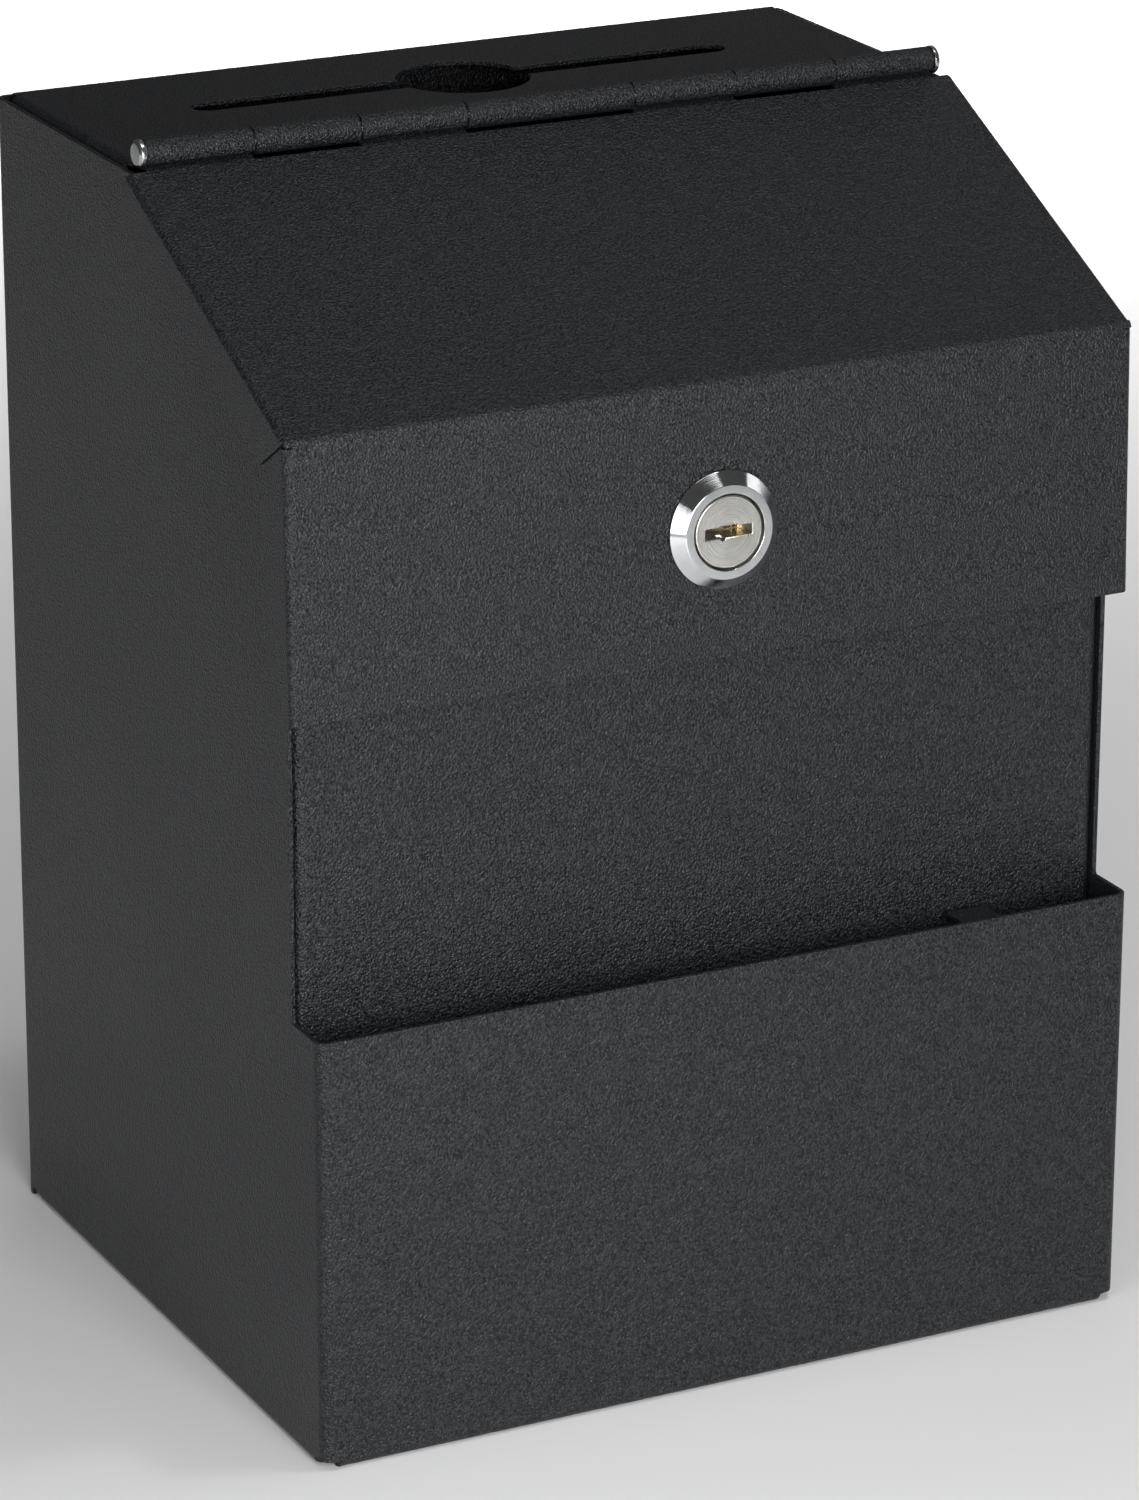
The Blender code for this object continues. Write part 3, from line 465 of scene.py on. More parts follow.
@dataclass
class OuterShell:
    """Side, pocket front and side in one sheet, with flanges at the back and the base."""

    box: BoxSizes
    bend_r: float = 2.5 * MM
    base_bend_r: float = 2.0 * MM
    flange: float = 12.0 * MM
    top_drop: float = 1.0 * MM
    relief: float = 1.8 * MM
    nick: float = 1.0 * MM
    under_y: float = 7.086 * MM
    under_z: float = 245.529 * MM

    def outline(self) -> list[Corner]:
        """Right half of the blank's edge, from the middle of the pocket's rim round to its foot.

        Returns:
            Corners with the radius that each is rounded to.
        """
        box, bend = self.box, (self.bend_r - self.box.sheet / 2) * RIGHT_ANGLE
        start = box.half - self.bend_r
        side_of = start + bend + box.back_y - self.bend_r
        back = side_of + (box.back_y - self.bend_r)
        end = back + bend + self.flange - self.bend_r
        top = box.top_z - self.top_drop
        tangent = math.tan(box.slope)
        top_y = self.under_y - (self.under_z - top) / tangent
        front_z = self.under_z - (self.under_y - box.front_panel_y) * tangent
        heel = self.base_bend_r - (self.base_bend_r - box.sheet / 2) * RIGHT_ANGLE
        foot = heel - self.flange + self.base_bend_r
        heel -= 0.3 * MM
        corner, nick = start + bend, self.nick
        tiny, small = 0.3 * MM, 1.0 * MM
        return [
            (side_of + box.front_panel_y, box.pocket_height, 0.6 * MM),
            (side_of + box.front_panel_y, front_z, small),
            (side_of + top_y, top, small), (end, top, small), (end, 0, small),
            (back - nick, 0, tiny), (back - nick, self.relief, tiny), (back - 2 * nick, self.relief, tiny),
            (back - 2 * nick, heel, tiny), (back - self.flange, foot, small),
            (corner + self.flange + nick, foot, small), (corner + 2 * nick, heel, tiny),
            (corner + 2 * nick, self.relief, tiny), (start - nick, self.relief, tiny),
            (start - nick, heel, tiny), (start - self.flange - nick, foot, small),
        ]

    def build(self) -> bpy.types.Object:
        """Cut and fold the shell.

        Returns:
            The finished piece.
        """
        box = self.box
        middle = self.bend_r - box.sheet / 2
        start = box.half - self.bend_r
        bend = middle * RIGHT_ANGLE
        back = start + bend + 2 * (box.back_y - self.bend_r)
        low = Fold(Across.V, self.base_bend_r, -1, -90, self.base_bend_r - box.sheet / 2)
        folds = []
        corner, inner, outer = start - self.nick / 2, start + bend + self.nick, back - 1.5 * self.nick
        for first, last in ((-outer, -inner), (-corner, corner), (inner, outer)):
            folds.append(Fold(low.across, low.at, low.side, low.degrees, low.radius, 8, first, last))
        for side in (-1, 1):
            folds.append(Fold(Across.U, side * back, side, -90, middle))
            folds.append(Fold(Across.U, side * start, side, -90, middle))
        blank = Blank(eased(mirrored(self.outline())), [], folds)
        place = frame_of(Vector((1, 0, 0)), Vector((0, 0, 1)), Vector((0, -1, 0)),
                         Vector((0, -box.back_y + box.sheet / 2, 0)))
        return blank.build("outer_shell_folded", place)


@dataclass
class TopAndBackPanel:
    """Top and back in one sheet, rolled at its front edge into the body's knuckles."""

    box: BoxSizes
    half: float = 90.2 * MM
    back_half: float = 88.6 * MM
    back_face: float = 76.2 * MM
    foot_z: float = 2.6 * MM
    bend_r: float = 2.2 * MM
    crease_r: float = 0.4 * MM
    flange: float = 10.0 * MM
    leaf_run: float = 6.0 * MM
    slot_y: float = 46.0 * MM
    slot_length: float = 122.4 * MM
    slot_width: float = 7.0 * MM
    hole_r: float = 14.0 * MM
    wall_hole_r: float = 2.75 * MM
    wall_hole_x: float = 55.0 * MM
    wall_hole_drop: float = 41.0 * MM

    def leaf(self) -> tuple[float, float]:
        """Climb of the leaf towards the pin in degrees, and the leaf's length.

        Returns:
            The climb in degrees and the leaf's length.
        """
        box = self.box
        reach = Vector((self.leaf_run, box.top_z - box.sheet / 2 - box.pin_z))
        length = math.sqrt(reach.length_squared - box.roll_r ** 2)
        bearing = math.atan2(reach.y, reach.x) - math.acos(box.roll_r / reach.length)
        return math.degrees(-math.pi / 2 - bearing), length

    def opening(self) -> Loop:
        """The slot and the round hole as one outline.

        Returns:
            The opening's outline.
        """
        half, straight = self.slot_width / 2, (self.slot_length - self.slot_width) / 2
        bearing = math.degrees(math.asin(half / self.hole_r))
        loop: Loop = []
        for side in (1, -1):
            cap = arc((side * straight, self.slot_y), half, -90 if side > 0 else 90, 180, 14)
            bow = arc((0, self.slot_y), self.hole_r, bearing if side > 0 else 180 + bearing,
                      180 - 2 * bearing, 30)
            loop += cap + bow
        return loop

    def build(self) -> bpy.types.Object:
        """Cut and fold the panel.

        Returns:
            The finished piece.
        """
        box = self.box
        climb, leaf = self.leaf()
        kink = box.pin_y + self.leaf_run
        back = self.back_face - self.bend_r
        middle = self.bend_r - box.sheet / 2
        bend = middle * RIGHT_ANGLE
        end = back + bend + (box.top_z - self.bend_r - self.foot_z)
        roll_at = kink - leaf
        side_at = self.half - self.bend_r
        wide = side_at + bend + self.flange - self.bend_r
        notch = box.pin_y + box.notch_r
        tiny, small = 0.3 * MM, 1.0 * MM
        chain: list[Corner] = [(self.back_half, end, small), (self.back_half, back - 1.4 * MM, tiny),
                               (side_at - small / 2, back - 1.4 * MM, 0), (side_at - small / 2, back - 1.8 * MM, 0),
                               (wide, back - 1.8 * MM, 2 * MM), (wide, kink + 0.35 * MM, 2 * MM),
                               (side_at - tiny, kink + 0.35 * MM, 0), (side_at - tiny, kink + 0.2 * MM, 0),
                               (self.half - tiny, kink + 0.2 * MM, tiny), (self.half - tiny, notch, tiny),
                               (box.knuckle_splits[2] - box.knuckle_gap, notch, tiny)]
        lip = roll_at - box.roll_length
        chain += [(box.knuckle_splits[2] - box.knuckle_gap, lip, tiny),
                  (box.knuckle_splits[1] + box.knuckle_gap, lip, tiny),
                  (box.knuckle_splits[1] + box.knuckle_gap, notch, tiny),
                  (box.knuckle_splits[0] - box.knuckle_gap, notch, tiny),
                  (box.knuckle_splits[0] - box.knuckle_gap, lip, tiny)]
        drop = back + bend + self.wall_hole_drop - self.bend_r
        holes = [self.opening()]
        holes += [circle((side * self.wall_hole_x, drop), self.wall_hole_r, 32) for side in (-1, 1)]
        crease = Fold(Across.V, kink, -1, climb, self.crease_r, 2)
        folds = [Fold(Across.V, roll_at, -1, box.roll_degrees, box.roll_r, 32),
                 replace(crease, at=kink + crease.length / 2)]
        folds += [Fold(Across.U, side * side_at, side, -90, middle, 8, kink + 0.3 * MM, back - 1.5 * MM)
                  for side in (-1, 1)]
        folds.append(Fold(Across.V, back, 1, -90, middle))
        place = frame_of(Vector((1, 0, 0)), Vector((0, 1, 0)), Vector((0, 0, 1)),
                         Vector((0, 0, box.top_z - box.sheet / 2)))
        return Blank(eased(mirrored(chain)), holes, folds).build("top_and_back_folded", place)


@dataclass
class InnerFrontPanel:
    """The body's front behind the pocket, with side flanges and the catch for the cam."""

    box: BoxSizes
    half: float = 90.2 * MM
    bend_r: float = 2.2 * MM
    flange: float = 10.0 * MM
    foot_z: float = 2.6 * MM
    catch_half: float = 80.0 * MM

    def build(self) -> bpy.types.Object:
        """Cut and fold the panel; the catch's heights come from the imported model.

        Returns:
            The finished piece.
        """
        box = self.box
        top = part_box("inner_front_panel")[1].z
        middle = self.bend_r - box.sheet / 2
        bend = middle * RIGHT_ANGLE
        wide = self.half - self.bend_r + bend + self.flange - self.bend_r
        shoulder = top - 3 * box.sheet
        corners = [v.co for v in frame["nodes"]["inner_front_panel"].data.vertices]
        catch = [co for co in corners if abs(co.x) < self.catch_half + MM]
        lip_y = max(co.y for co in catch)
        lip_z = min(co.z for co in catch if co.y > lip_y - box.sheet / 2)
        first = top - self.bend_r
        flat = lip_y - box.front_panel_y - 2 * self.bend_r
        second = first + bend + flat
        end = second + bend + (top - self.bend_r - lip_z)
        chain = [(self.catch_half, end, 1.5 * MM), (self.catch_half, shoulder, 0.5 * MM),
                 (wide, shoulder, MM), (wide, self.foot_z, MM)]
        folds = [Fold(Across.V, second, 1, -90, middle), Fold(Across.V, first, 1, -90, middle)]
        folds += [Fold(Across.U, side * (self.half - self.bend_r), side, -90, middle) for side in (-1, 1)]
        place = frame_of(Vector((1, 0, 0)), Vector((0, 0, 1)), Vector((0, -1, 0)),
                         Vector((0, box.front_panel_y + box.sheet / 2, 0)))
        return Blank(eased(mirrored(chain)), [], folds).build("inner_front_folded", place)


@dataclass
class BottomPanel:
    """The base sheet that lies on the shell's flanges."""

    box: BoxSizes
    corner: float = 4.5 * MM

    def build(self) -> bpy.types.Object:
        """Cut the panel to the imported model's box.

        Returns:
            The finished piece.
        """
        low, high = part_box("bottom_panel")
        cut = self.corner - self.box.sheet - self.box.fit
        chain = [(high.x, high.y - cut, 0.5 * MM), (high.x, low.y + cut, 0.5 * MM),
                 (high.x - cut, low.y + cut, 0.5 * MM), (high.x - cut, low.y, 0.5 * MM)]
        chain = [(high.x - cut, high.y, 0.5 * MM), (high.x - cut, high.y - cut, 0.5 * MM)] + chain
        place = Matrix.Translation((0, 0, (low.z + high.z) / 2))
        return Blank(eased(mirrored(chain))).build("bottom_sheet", place)


@dataclass
class PocketDivider:
    """The bridge that keeps pens apart from cards, with a welded tab at each end."""

    box: BoxSizes
    bend_r: float = 2.2 * MM

    def build(self) -> bpy.types.Object:
        """Cut and fold the strap between the walls of the pocket.

        Returns:
            The finished piece.
        """
        low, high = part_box("pocket_divider")
        half = (high.x - low.x) / 2
        middle = self.bend_r - self.box.sheet / 2
        bend = middle * RIGHT_ANGLE
        flat = (high.y - low.y) / 2 - self.bend_r
        end = flat + bend + (high.z - low.z) - self.bend_r
        chain = [(half, end, 1.2 * MM), (half, -end, 1.2 * MM)]
        folds = [Fold(Across.V, side * flat, side, -90, middle) for side in (-1, 1)]
        centre = Vector(((low.x + high.x) / 2, (low.y + high.y) / 2, high.z - self.box.sheet / 2))
        place = frame_of(Vector((1, 0, 0)), Vector((0, 1, 0)), Vector((0, 0, 1)), centre)
        return Blank(eased(mirrored(chain)), [], folds).build("pocket_divider_folded", place)


@dataclass
class LidPanel:
    """Slanted top, front and side flanges in one sheet, rolled into the lid's knuckles."""

    box: BoxSizes
    half: float = 93.2 * MM
    flange: float = 11.7 * MM
    flange_corner: float = 3.5 * MM
    side_bend_r: float = 1.5 * MM
    fold_r: float = 1.8 * MM
    standoff: float = 4.1 * MM
    front: float = 56.3 * MM
    lock_drop: float = 29.8 * MM
    lock_hole_r: float = 9.45 * MM
    lock_hole_flat: float = 8.2 * MM
    slit: float = 0.14 * MM
    mitre: float = 0.22 * MM

    def build(self) -> bpy.types.Object:
        """Cut and fold the lid.

        Returns:
            The finished piece.
        """
        box = self.box
        down = Vector((0, -math.cos(box.slope), -math.sin(box.slope)))
        out = Vector((0, -math.sin(box.slope), math.cos(box.slope)))
        pin = Vector((0, box.pin_y, box.pin_z))
        origin = pin - out * box.roll_r
        foot_y = (pin - out * (box.knuckle_r - box.sheet)).y
        run = (foot_y - (box.front_panel_y - self.standoff)) / math.cos(box.slope)
        turn = RIGHT_ANGLE - box.lean - box.slope
        setback = self.fold_r * math.tan(turn / 2)
        fold_at = run - setback
        front_fold = Fold(Across.V, -fold_at, -1, -math.degrees(turn), self.fold_r - box.sheet / 2, 10)
        after = fold_at + front_fold.length
        end = after + self.front - setback
        middle = self.side_bend_r - box.sheet / 2
        side_at = self.half - self.side_bend_r
        wall = side_at + middle * RIGHT_ANGLE
        wide = wall + self.flange - self.side_bend_r
        slack = self.flange * math.tan(turn / 2) - setback
        bare = self.fold_r - self.side_bend_r
        tip = self.half - 0.25 * MM
        root = side_at - 0.3 * MM
        notch, gap, splits = box.notch_r, box.knuckle_gap, box.knuckle_splits
        tiny, lip = 0.3 * MM, -box.roll_length
        downwards: list[Corner] = [
            (splits[0] + gap, notch, tiny), (splits[0] + gap, lip, tiny), (splits[1] - gap, lip, tiny),
            (splits[1] - gap, notch, tiny), (splits[2] + gap, notch, tiny), (splits[2] + gap, lip, tiny),
            (box.barrel_half, lip, tiny), (box.barrel_half, notch, tiny),
            (wide, notch, self.flange_corner), (wide, fold_at - slack - self.mitre, tiny),
            (wall + bare, fold_at - self.mitre, 0.5 * MM), (root, fold_at - self.slit, 0),
            (root, fold_at, 0), (tip, fold_at, tiny), (tip, after, tiny), (root, after, 0),
            (root, after + self.slit, 0), (wall + bare, after + self.mitre, 0.5 * MM),
            (wide, after + slack + self.mitre, tiny), (wide, end, 0.9 * MM),
        ]
        chain = [(u, -v, radius) for u, v, radius in downwards]
        lock_v = -(after + self.lock_drop - setback)
        edge = math.degrees(math.acos(self.lock_hole_flat / self.lock_hole_r))
        hole = arc((0, lock_v), self.lock_hole_r, edge, 180 - 2 * edge, 20)
        hole += arc((0, lock_v), self.lock_hole_r, 180 + edge, 180 - 2 * edge, 20)
        folds = [box.roll(0.0, 1)]
        folds += [Fold(Across.U, side * side_at, side, -90, middle, 8, -end - MM, -after - self.slit / 2)
                  for side in (-1, 1)]
        folds += [Fold(Across.U, side * side_at, side, -90, middle, 8, -fold_at + self.slit / 2, 0)
                  for side in (-1, 1)]
        folds.append(front_fold)
        place = frame_of(Vector((1, 0, 0)), -down, out, origin)
        return Blank(eased(mirrored(chain)), [hole], folds).build("lid_folded", place)


# --- rule-driven pieces --------------------------------------------------------------------------
class Recipe:
    """A Geometry Nodes tree with named number inputs that ends in Realize Instances and Set Material."""

    def __init__(self, name: str, **sizes: float) -> None:
        """Start a tree with a geometry input and one input for each size.

        Args:
            name: of the tree.
            sizes: a number for each named input.
        """
        self.tree = bpy.data.node_groups.new(name, "GeometryNodeTree")
        self.sizes = sizes
        face = self.tree.interface
        face.new_socket("Geometry", in_out="INPUT", socket_type="NodeSocketGeometry")
        face.new_socket("Finish", in_out="INPUT", socket_type="NodeSocketMaterial")
        for label in sizes:
            face.new_socket(label, in_out="INPUT", socket_type="NodeSocketFloat")
        face.new_socket("Geometry", in_out="OUTPUT", socket_type="NodeSocketGeometry")
        self.start = self.tree.nodes.new("NodeGroupInput")

    def size(self, label: str) -> Socket:
        """The output of a named size."""
        return self.start.outputs[label]

    def node(self, kind: str, inputs: dict[int | str, Feed], **settings: str) -> Socket:
        """Add a node, feed it and return its first output.

        Args:
            kind: type of the node.
            inputs: a value or an output for each socket.
            settings: properties of the node.

        Returns:
            That output.
        """
        made = self.tree.nodes.new(kind)
        for key, value in settings.items():
            setattr(made, key, value)
        for socket, source in inputs.items():
            if isinstance(source, bpy.types.NodeSocket):
                self.tree.links.new(source, made.inputs[socket])
            else:
                made.inputs[socket].default_value = source
        return made.outputs[0]

    def calc(self, operation: str, one: Feed, two: Feed = 0.0) -> Socket:
        """One step of arithmetic."""
        return self.node("ShaderNodeMath", {0: one, 1: two}, operation=operation)

    def spot(self, x: Feed = 0.0, y: Feed = 0.0, z: Feed = 0.0) -> Socket:
        """A vector from three values."""
        return self.node("ShaderNodeCombineXYZ", {0: x, 1: y, 2: z})

    def cook(self, thing: bpy.types.Object, geometry: Socket) -> bpy.types.Object:
        """Finish the tree, run it on an object and keep the plain mesh.

        Args:
            thing: the object that the tree works on.
            geometry: the tree's last output.

        Returns:
            The same object with a plain mesh.
        """
        whole = self.node("GeometryNodeRealizeInstances", {0: geometry})
        dressed = self.node("GeometryNodeSetMaterial", {
            "Geometry": whole, "Material": self.start.outputs["Finish"]})
        end = self.tree.nodes.new("NodeGroupOutput")
        self.tree.links.new(dressed, end.inputs[0])
        step = thing.modifiers.new(self.tree.name, "NODES")
        step.node_group = self.tree
        for item in self.tree.interface.items_tree:
            if item.in_out == "INPUT" and item.name in self.sizes:
                step[item.identifier] = float(self.sizes[item.name])
        seen = thing.evaluated_get(bpy.context.evaluated_depsgraph_get())
        data = bpy.data.meshes.new_from_object(seen)
        thing.modifiers.clear()
        thing.data = data
        return thing


def placed(thing: bpy.types.Object, place: Matrix) -> bpy.types.Object:
    """Move an object's mesh into its place and settle its shading."""
    thing.data.transform(place)
    return settle(thing)


def solid(name: str, rings: list[list[Vector]]) -> bpy.types.Object:
    """A closed block lofted through rings of equal count, capped at both ends.

    Args:
        name: of the object.
        rings: rings of points, from one end to the other.

    Returns:
        The block.
    """
    shape = bmesh.new()
    made = [[shape.verts.new(co) for co in ring] for ring in rings]
    for low, high in zip(made, made[1:]):
        for index in range(len(low)):
            after = (index + 1) % len(low)
            shape.faces.new((low[index], low[after], high[after], high[index]))
    shape.faces.new(made[0][::-1])
    shape.faces.new(made[-1])
    bmesh.ops.recalc_face_normals(shape, faces=shape.faces)
    return mesh_object(name, shape)


def prism(name: str, loop: Loop, low: float, high: float, flare: float = 0.0) -> bpy.types.Object:
    """A straight block of an outline, which may flare like an eased edge at its upper end.

    Args:
        name: of the object.
        loop: the outline.
        low: its lower end.
        high: its upper end.
        flare: radius of the flare at the upper end.

    Returns:
        The block.
    """
    loop = turned_to(loop, Turn.LEFT)
    offsets = outward_normals(loop)[0]
    rings = [(low, 0.0)]
    if flare:
        rings += [(high - flare + flare * math.sin(b), flare * (1 - math.cos(b)))
                  for b in (0.0, 0.35, 0.7, 1.05, RIGHT_ANGLE)] + [(high + flare, flare)]
    else:
        rings.append((high, 0.0))
    return solid(name, [[Vector((u + o.x * grow, v + o.y * grow, height)) for (u, v), o in zip(loop, offsets)]
                        for height, grow in rings])


def boxy(half_u: float, half_v: float, radius: float, centre: Point = (0.0, 0.0)) -> Loop:
    """A rectangle with rounded corners."""
    u, v = centre
    return eased([(u + a * half_u, v + b * half_v, radius) for a, b in ((1, 1), (-1, 1), (-1, -1), (1, -1))], 4)


def carve(thing: bpy.types.Object, operation: str, *others: bpy.types.Object) -> bpy.types.Object:
    """Cut other blocks out of a piece, or join them to it, and remove them.

    Args:
        thing: the piece.
        operation: DIFFERENCE or UNION.
        others: blocks to cut out or join.

    Returns:
        The piece.
    """
    for other in others:
        step = thing.modifiers.new(other.name, "BOOLEAN")
        step.operation, step.solver, step.object = operation, "EXACT", other
        seen = thing.evaluated_get(bpy.context.evaluated_depsgraph_get())
        data = bpy.data.meshes.new_from_object(seen)
        thing.modifiers.clear()
        thing.data = data
        bpy.data.objects.remove(other, do_unlink=True)
    return thing


# --- hinge pin and lock --------------------------------------------------------------------------
@dataclass
class HingePin:
    """Bright steel pin with a bevelled flat head at both ends."""

    box: BoxSizes
    radius: float = 1.7 * MM
    head_r: float = 2.9 * MM
    head: float = 1.4 * MM
    gap: float = 0.3 * MM
    bevel: float = 0.75 * MM

    def build(self) -> bpy.types.Object:
        """Turn the pin.

        Returns:
            The finished piece.
        """
        inner = self.box.barrel_half + self.gap
        outer = inner + self.head
        side = [(0, outer, 0), (self.head_r - self.bevel, outer, 0.12 * MM),
                (self.head_r, outer - self.bevel * 0.7, 0.2 * MM), (self.head_r, inner, 0.1 * MM),
                (self.radius, inner, 0)]
        full = side + [(radius, -height, ease) for radius, height, ease in reversed(side)]
        place = Matrix.Translation((0, self.box.pin_y, self.box.pin_z)) @ Matrix.Rotation(RIGHT_ANGLE, 4, "Y")
        return turned_piece("hinge_pin_headed", eased(full, 3), place, 48)


@dataclass
class CamLock:
    """Cam lock: housing, nut and washers on the lid, and the plug with its wafers and cam.

    Heights are measured outwards from the lid's face.
    """

    centre: Vector
    axis: Vector
    bezel_r: float = 12.0 * MM
    bezel_rim: float = 0.5 * MM
    face_r: float = 9.5 * MM
    bezel_height: float = 2.7 * MM
    face_bore: float = 7.8 * MM
    body_r: float = 9.25 * MM
    body_flat: float = 8.0 * MM
    body_length: float = 16.0 * MM
    bore: float = 6.4 * MM
    fit: float = 0.3 * MM
    thread_pitch: float = 1.0 * MM
    thread_depth: float = 0.45 * MM
    plug_face_r: float = 7.3 * MM
    plug_face: float = 2.4 * MM
    plug_face_t: float = 1.6 * MM
    plug_r: float = 6.2 * MM
    tail_half: float = 3.5 * MM
    keyway: tuple[float, float, float] = (5.15 * MM, 1.1 * MM, 12.5 * MM)
    recess_r: float = 2.4 * MM
    recess: float = 0.9 * MM
    wafer_first: float = 3.2 * MM
    wafer_pitch: float = 1.7 * MM
    wafer_t: float = 0.8 * MM
    wafer_half: tuple[float, float] = (5.2 * MM, 2.6 * MM)
    window_half: tuple[float, float] = (4.3 * MM, 1.3 * MM)
    wafer_shift: float = 0.3 * MM
    wafers: int = 5
    nut_bore: float = 9.45 * MM
    washer_r: float = 11.8 * MM
    washer_face: float = -1.3 * MM
    washer_t: float = 0.8 * MM
    nut_face: float = -2.7 * MM
    nut_t: float = 4.5 * MM
    nut_flats: float = 11.25 * MM
    nut_crown: float = 10.9 * MM
    stop_r: float = 7.5 * MM
    stop_lug: float = 1.5 * MM
    cam_half: float = 6.5 * MM
    cam_reach: float = 22.0 * MM
    cam_t: float = 2.0 * MM
    hole_half: float = 3.7 * MM

    @property
    def place(self) -> Matrix:
        """From lock axes, x right, y up and z out of the lid, to the box's.

        Returns:
            The placing matrix.
        """
        across = Vector((1, 0, 0))
        out = -self.axis
        return frame_of(across, out.cross(across), out, self.centre)

    def housing(self) -> bpy.types.Object:
        """Conical bezel and threaded body with two flats.

        Returns:
            The finished piece.
        """
        seat = self.plug_face - self.plug_face_t - self.fit
        top = eased([(self.face_bore, seat, 0), (self.face_bore, self.bezel_height, 0.12 * MM),
                     (self.face_r, self.bezel_height, 0.25 * MM), (self.bezel_r, self.bezel_rim, 0.2 * MM),
                     (self.bezel_r, self.fit, 0.05 * MM), (self.body_r, self.fit, 0)], 4)
        rows = 120
        start, end = -1.0 * MM, -self.body_length + 0.3 * MM
        body = [(self.body_r, start + (end - start) * row / rows) for row in range(rows + 1)]
        profile = top + body + [(self.body_r - 0.3 * MM, -self.body_length), (self.bore, -self.body_length),
                                (self.bore, seat)]
        thing = turned_piece("lock_housing_turned", profile, Matrix.Identity(4), 96)
        rule = Recipe("housing_thread", Radius=self.body_r, Pitch=self.thread_pitch, Depth=self.thread_depth,
                      Flat=self.body_flat, Top=0.0)
        place = rule.node("GeometryNodeInputPosition", {})
        parts = rule.tree.nodes.new("ShaderNodeSeparateXYZ")
        rule.tree.links.new(place, parts.inputs[0])
        x, y, z = parts.outputs
        reach = rule.calc("SQRT", rule.calc("ADD", rule.calc("MULTIPLY", x, x), rule.calc("MULTIPLY", y, y)))
        round_share = rule.calc("DIVIDE", rule.calc("ARCTAN2", y, x), 2 * math.pi)
        phase = rule.calc("FRACT", rule.calc("ADD", rule.calc("DIVIDE", z, rule.size("Pitch")), round_share))
        valley = rule.calc("ABSOLUTE", rule.calc("SUBTRACT", rule.calc("MULTIPLY", phase, 2.0), 1.0))
        depth = rule.calc("MULTIPLY", valley, rule.size("Depth"))
        shrink = rule.calc("SUBTRACT", 1.0, rule.calc("DIVIDE", depth, reach))
        near = rule.calc("GREATER_THAN", reach, rule.calc("SUBTRACT", rule.size("Radius"), 0.0001 * MM))
        below = rule.calc("LESS_THAN", z, rule.size("Top"))
        threaded = rule.calc("MULTIPLY", near, below)
        factor = rule.calc("ADD", rule.calc("MULTIPLY", threaded, rule.calc("SUBTRACT", shrink, 1.0)), 1.0)
        wide = rule.calc("MULTIPLY", x, factor)
        flat = rule.calc("MAXIMUM", rule.calc("MINIMUM", wide, rule.size("Flat")),
                         rule.calc("MULTIPLY", rule.size("Flat"), -1.0))
        kept = rule.calc("ADD", rule.calc("MULTIPLY", below, rule.calc("SUBTRACT", flat, wide)), wide)
        moved = rule.node("GeometryNodeSetPosition", {
            "Geometry": rule.start.outputs["Geometry"],
            "Position": rule.spot(kept, rule.calc("MULTIPLY", y, factor), z)})
        return placed(rule.cook(thing, moved), self.place)

    def washer(self) -> bpy.types.Object:
        """Flat washer behind the lid.

        Returns:
            The finished piece.
        """
        high, low = self.washer_face, self.washer_face - self.washer_t
        loop = eased([(self.nut_bore, high, 0.1 * MM), (self.washer_r, high, 0.2 * MM),
                      (self.washer_r, low, 0.1 * MM), (self.nut_bore, low, 0.1 * MM)], 2)
        return turned_piece("lock_washer_stamped", loop, self.place, 72)

    def nut(self) -> bpy.types.Object:
        """Hexagon nut with both faces chamfered.

        Returns:
            The finished piece.
        """
        high, thick, flats, bore, sides = self.nut_face, self.nut_t, self.nut_flats, self.nut_bore, 96
        crown, drop = self.nut_crown, 1.2 * MM
        levels = [0.0, 0.12, 0.3, 0.6, 1.0]
        heights = [high - drop * share for share in levels]
        heights += [high - thick + drop * share for share in levels[::-1]]
        shape = bmesh.new()
        rings = [[shape.verts.new((x, y, high - 0.3 * MM)) for x, y in circle((0, 0), bore - 0.15 * MM, sides)]]
        rings.append([shape.verts.new((x, y, high)) for x, y in circle((0, 0), bore + 0.25 * MM, sides)])
        for height in heights:
            depth = min(high - height, height - high + thick)
            ring = []
            for index in range(sides):
                bearing = 2 * math.pi * index / sides
                hexagon = flats / math.cos((bearing + math.pi / 6) % (math.pi / 3) - math.pi / 6)
                reach = min(hexagon, crown + depth * 1.73)
                ring.append(shape.verts.new((reach * math.cos(bearing), reach * math.sin(bearing), height)))
            rings.append(ring)
        rings.append([shape.verts.new((x, y, high - thick)) for x, y in circle((0, 0), bore + 0.25 * MM, sides)])
        rings.append([shape.verts.new((x, y, high - thick + 0.3 * MM))
                      for x, y in circle((0, 0), bore - 0.15 * MM, sides)])
        for one, two in zip(rings, rings[1:] + rings[:1]):
            for index in range(sides):
                after = (index + 1) % sides
                shape.faces.new((one[index], one[after], two[after], two[index]))
        bmesh.ops.recalc_face_normals(shape, faces=shape.faces)
        return placed(mesh_object("lock_nut_chamfered", shape), self.place)

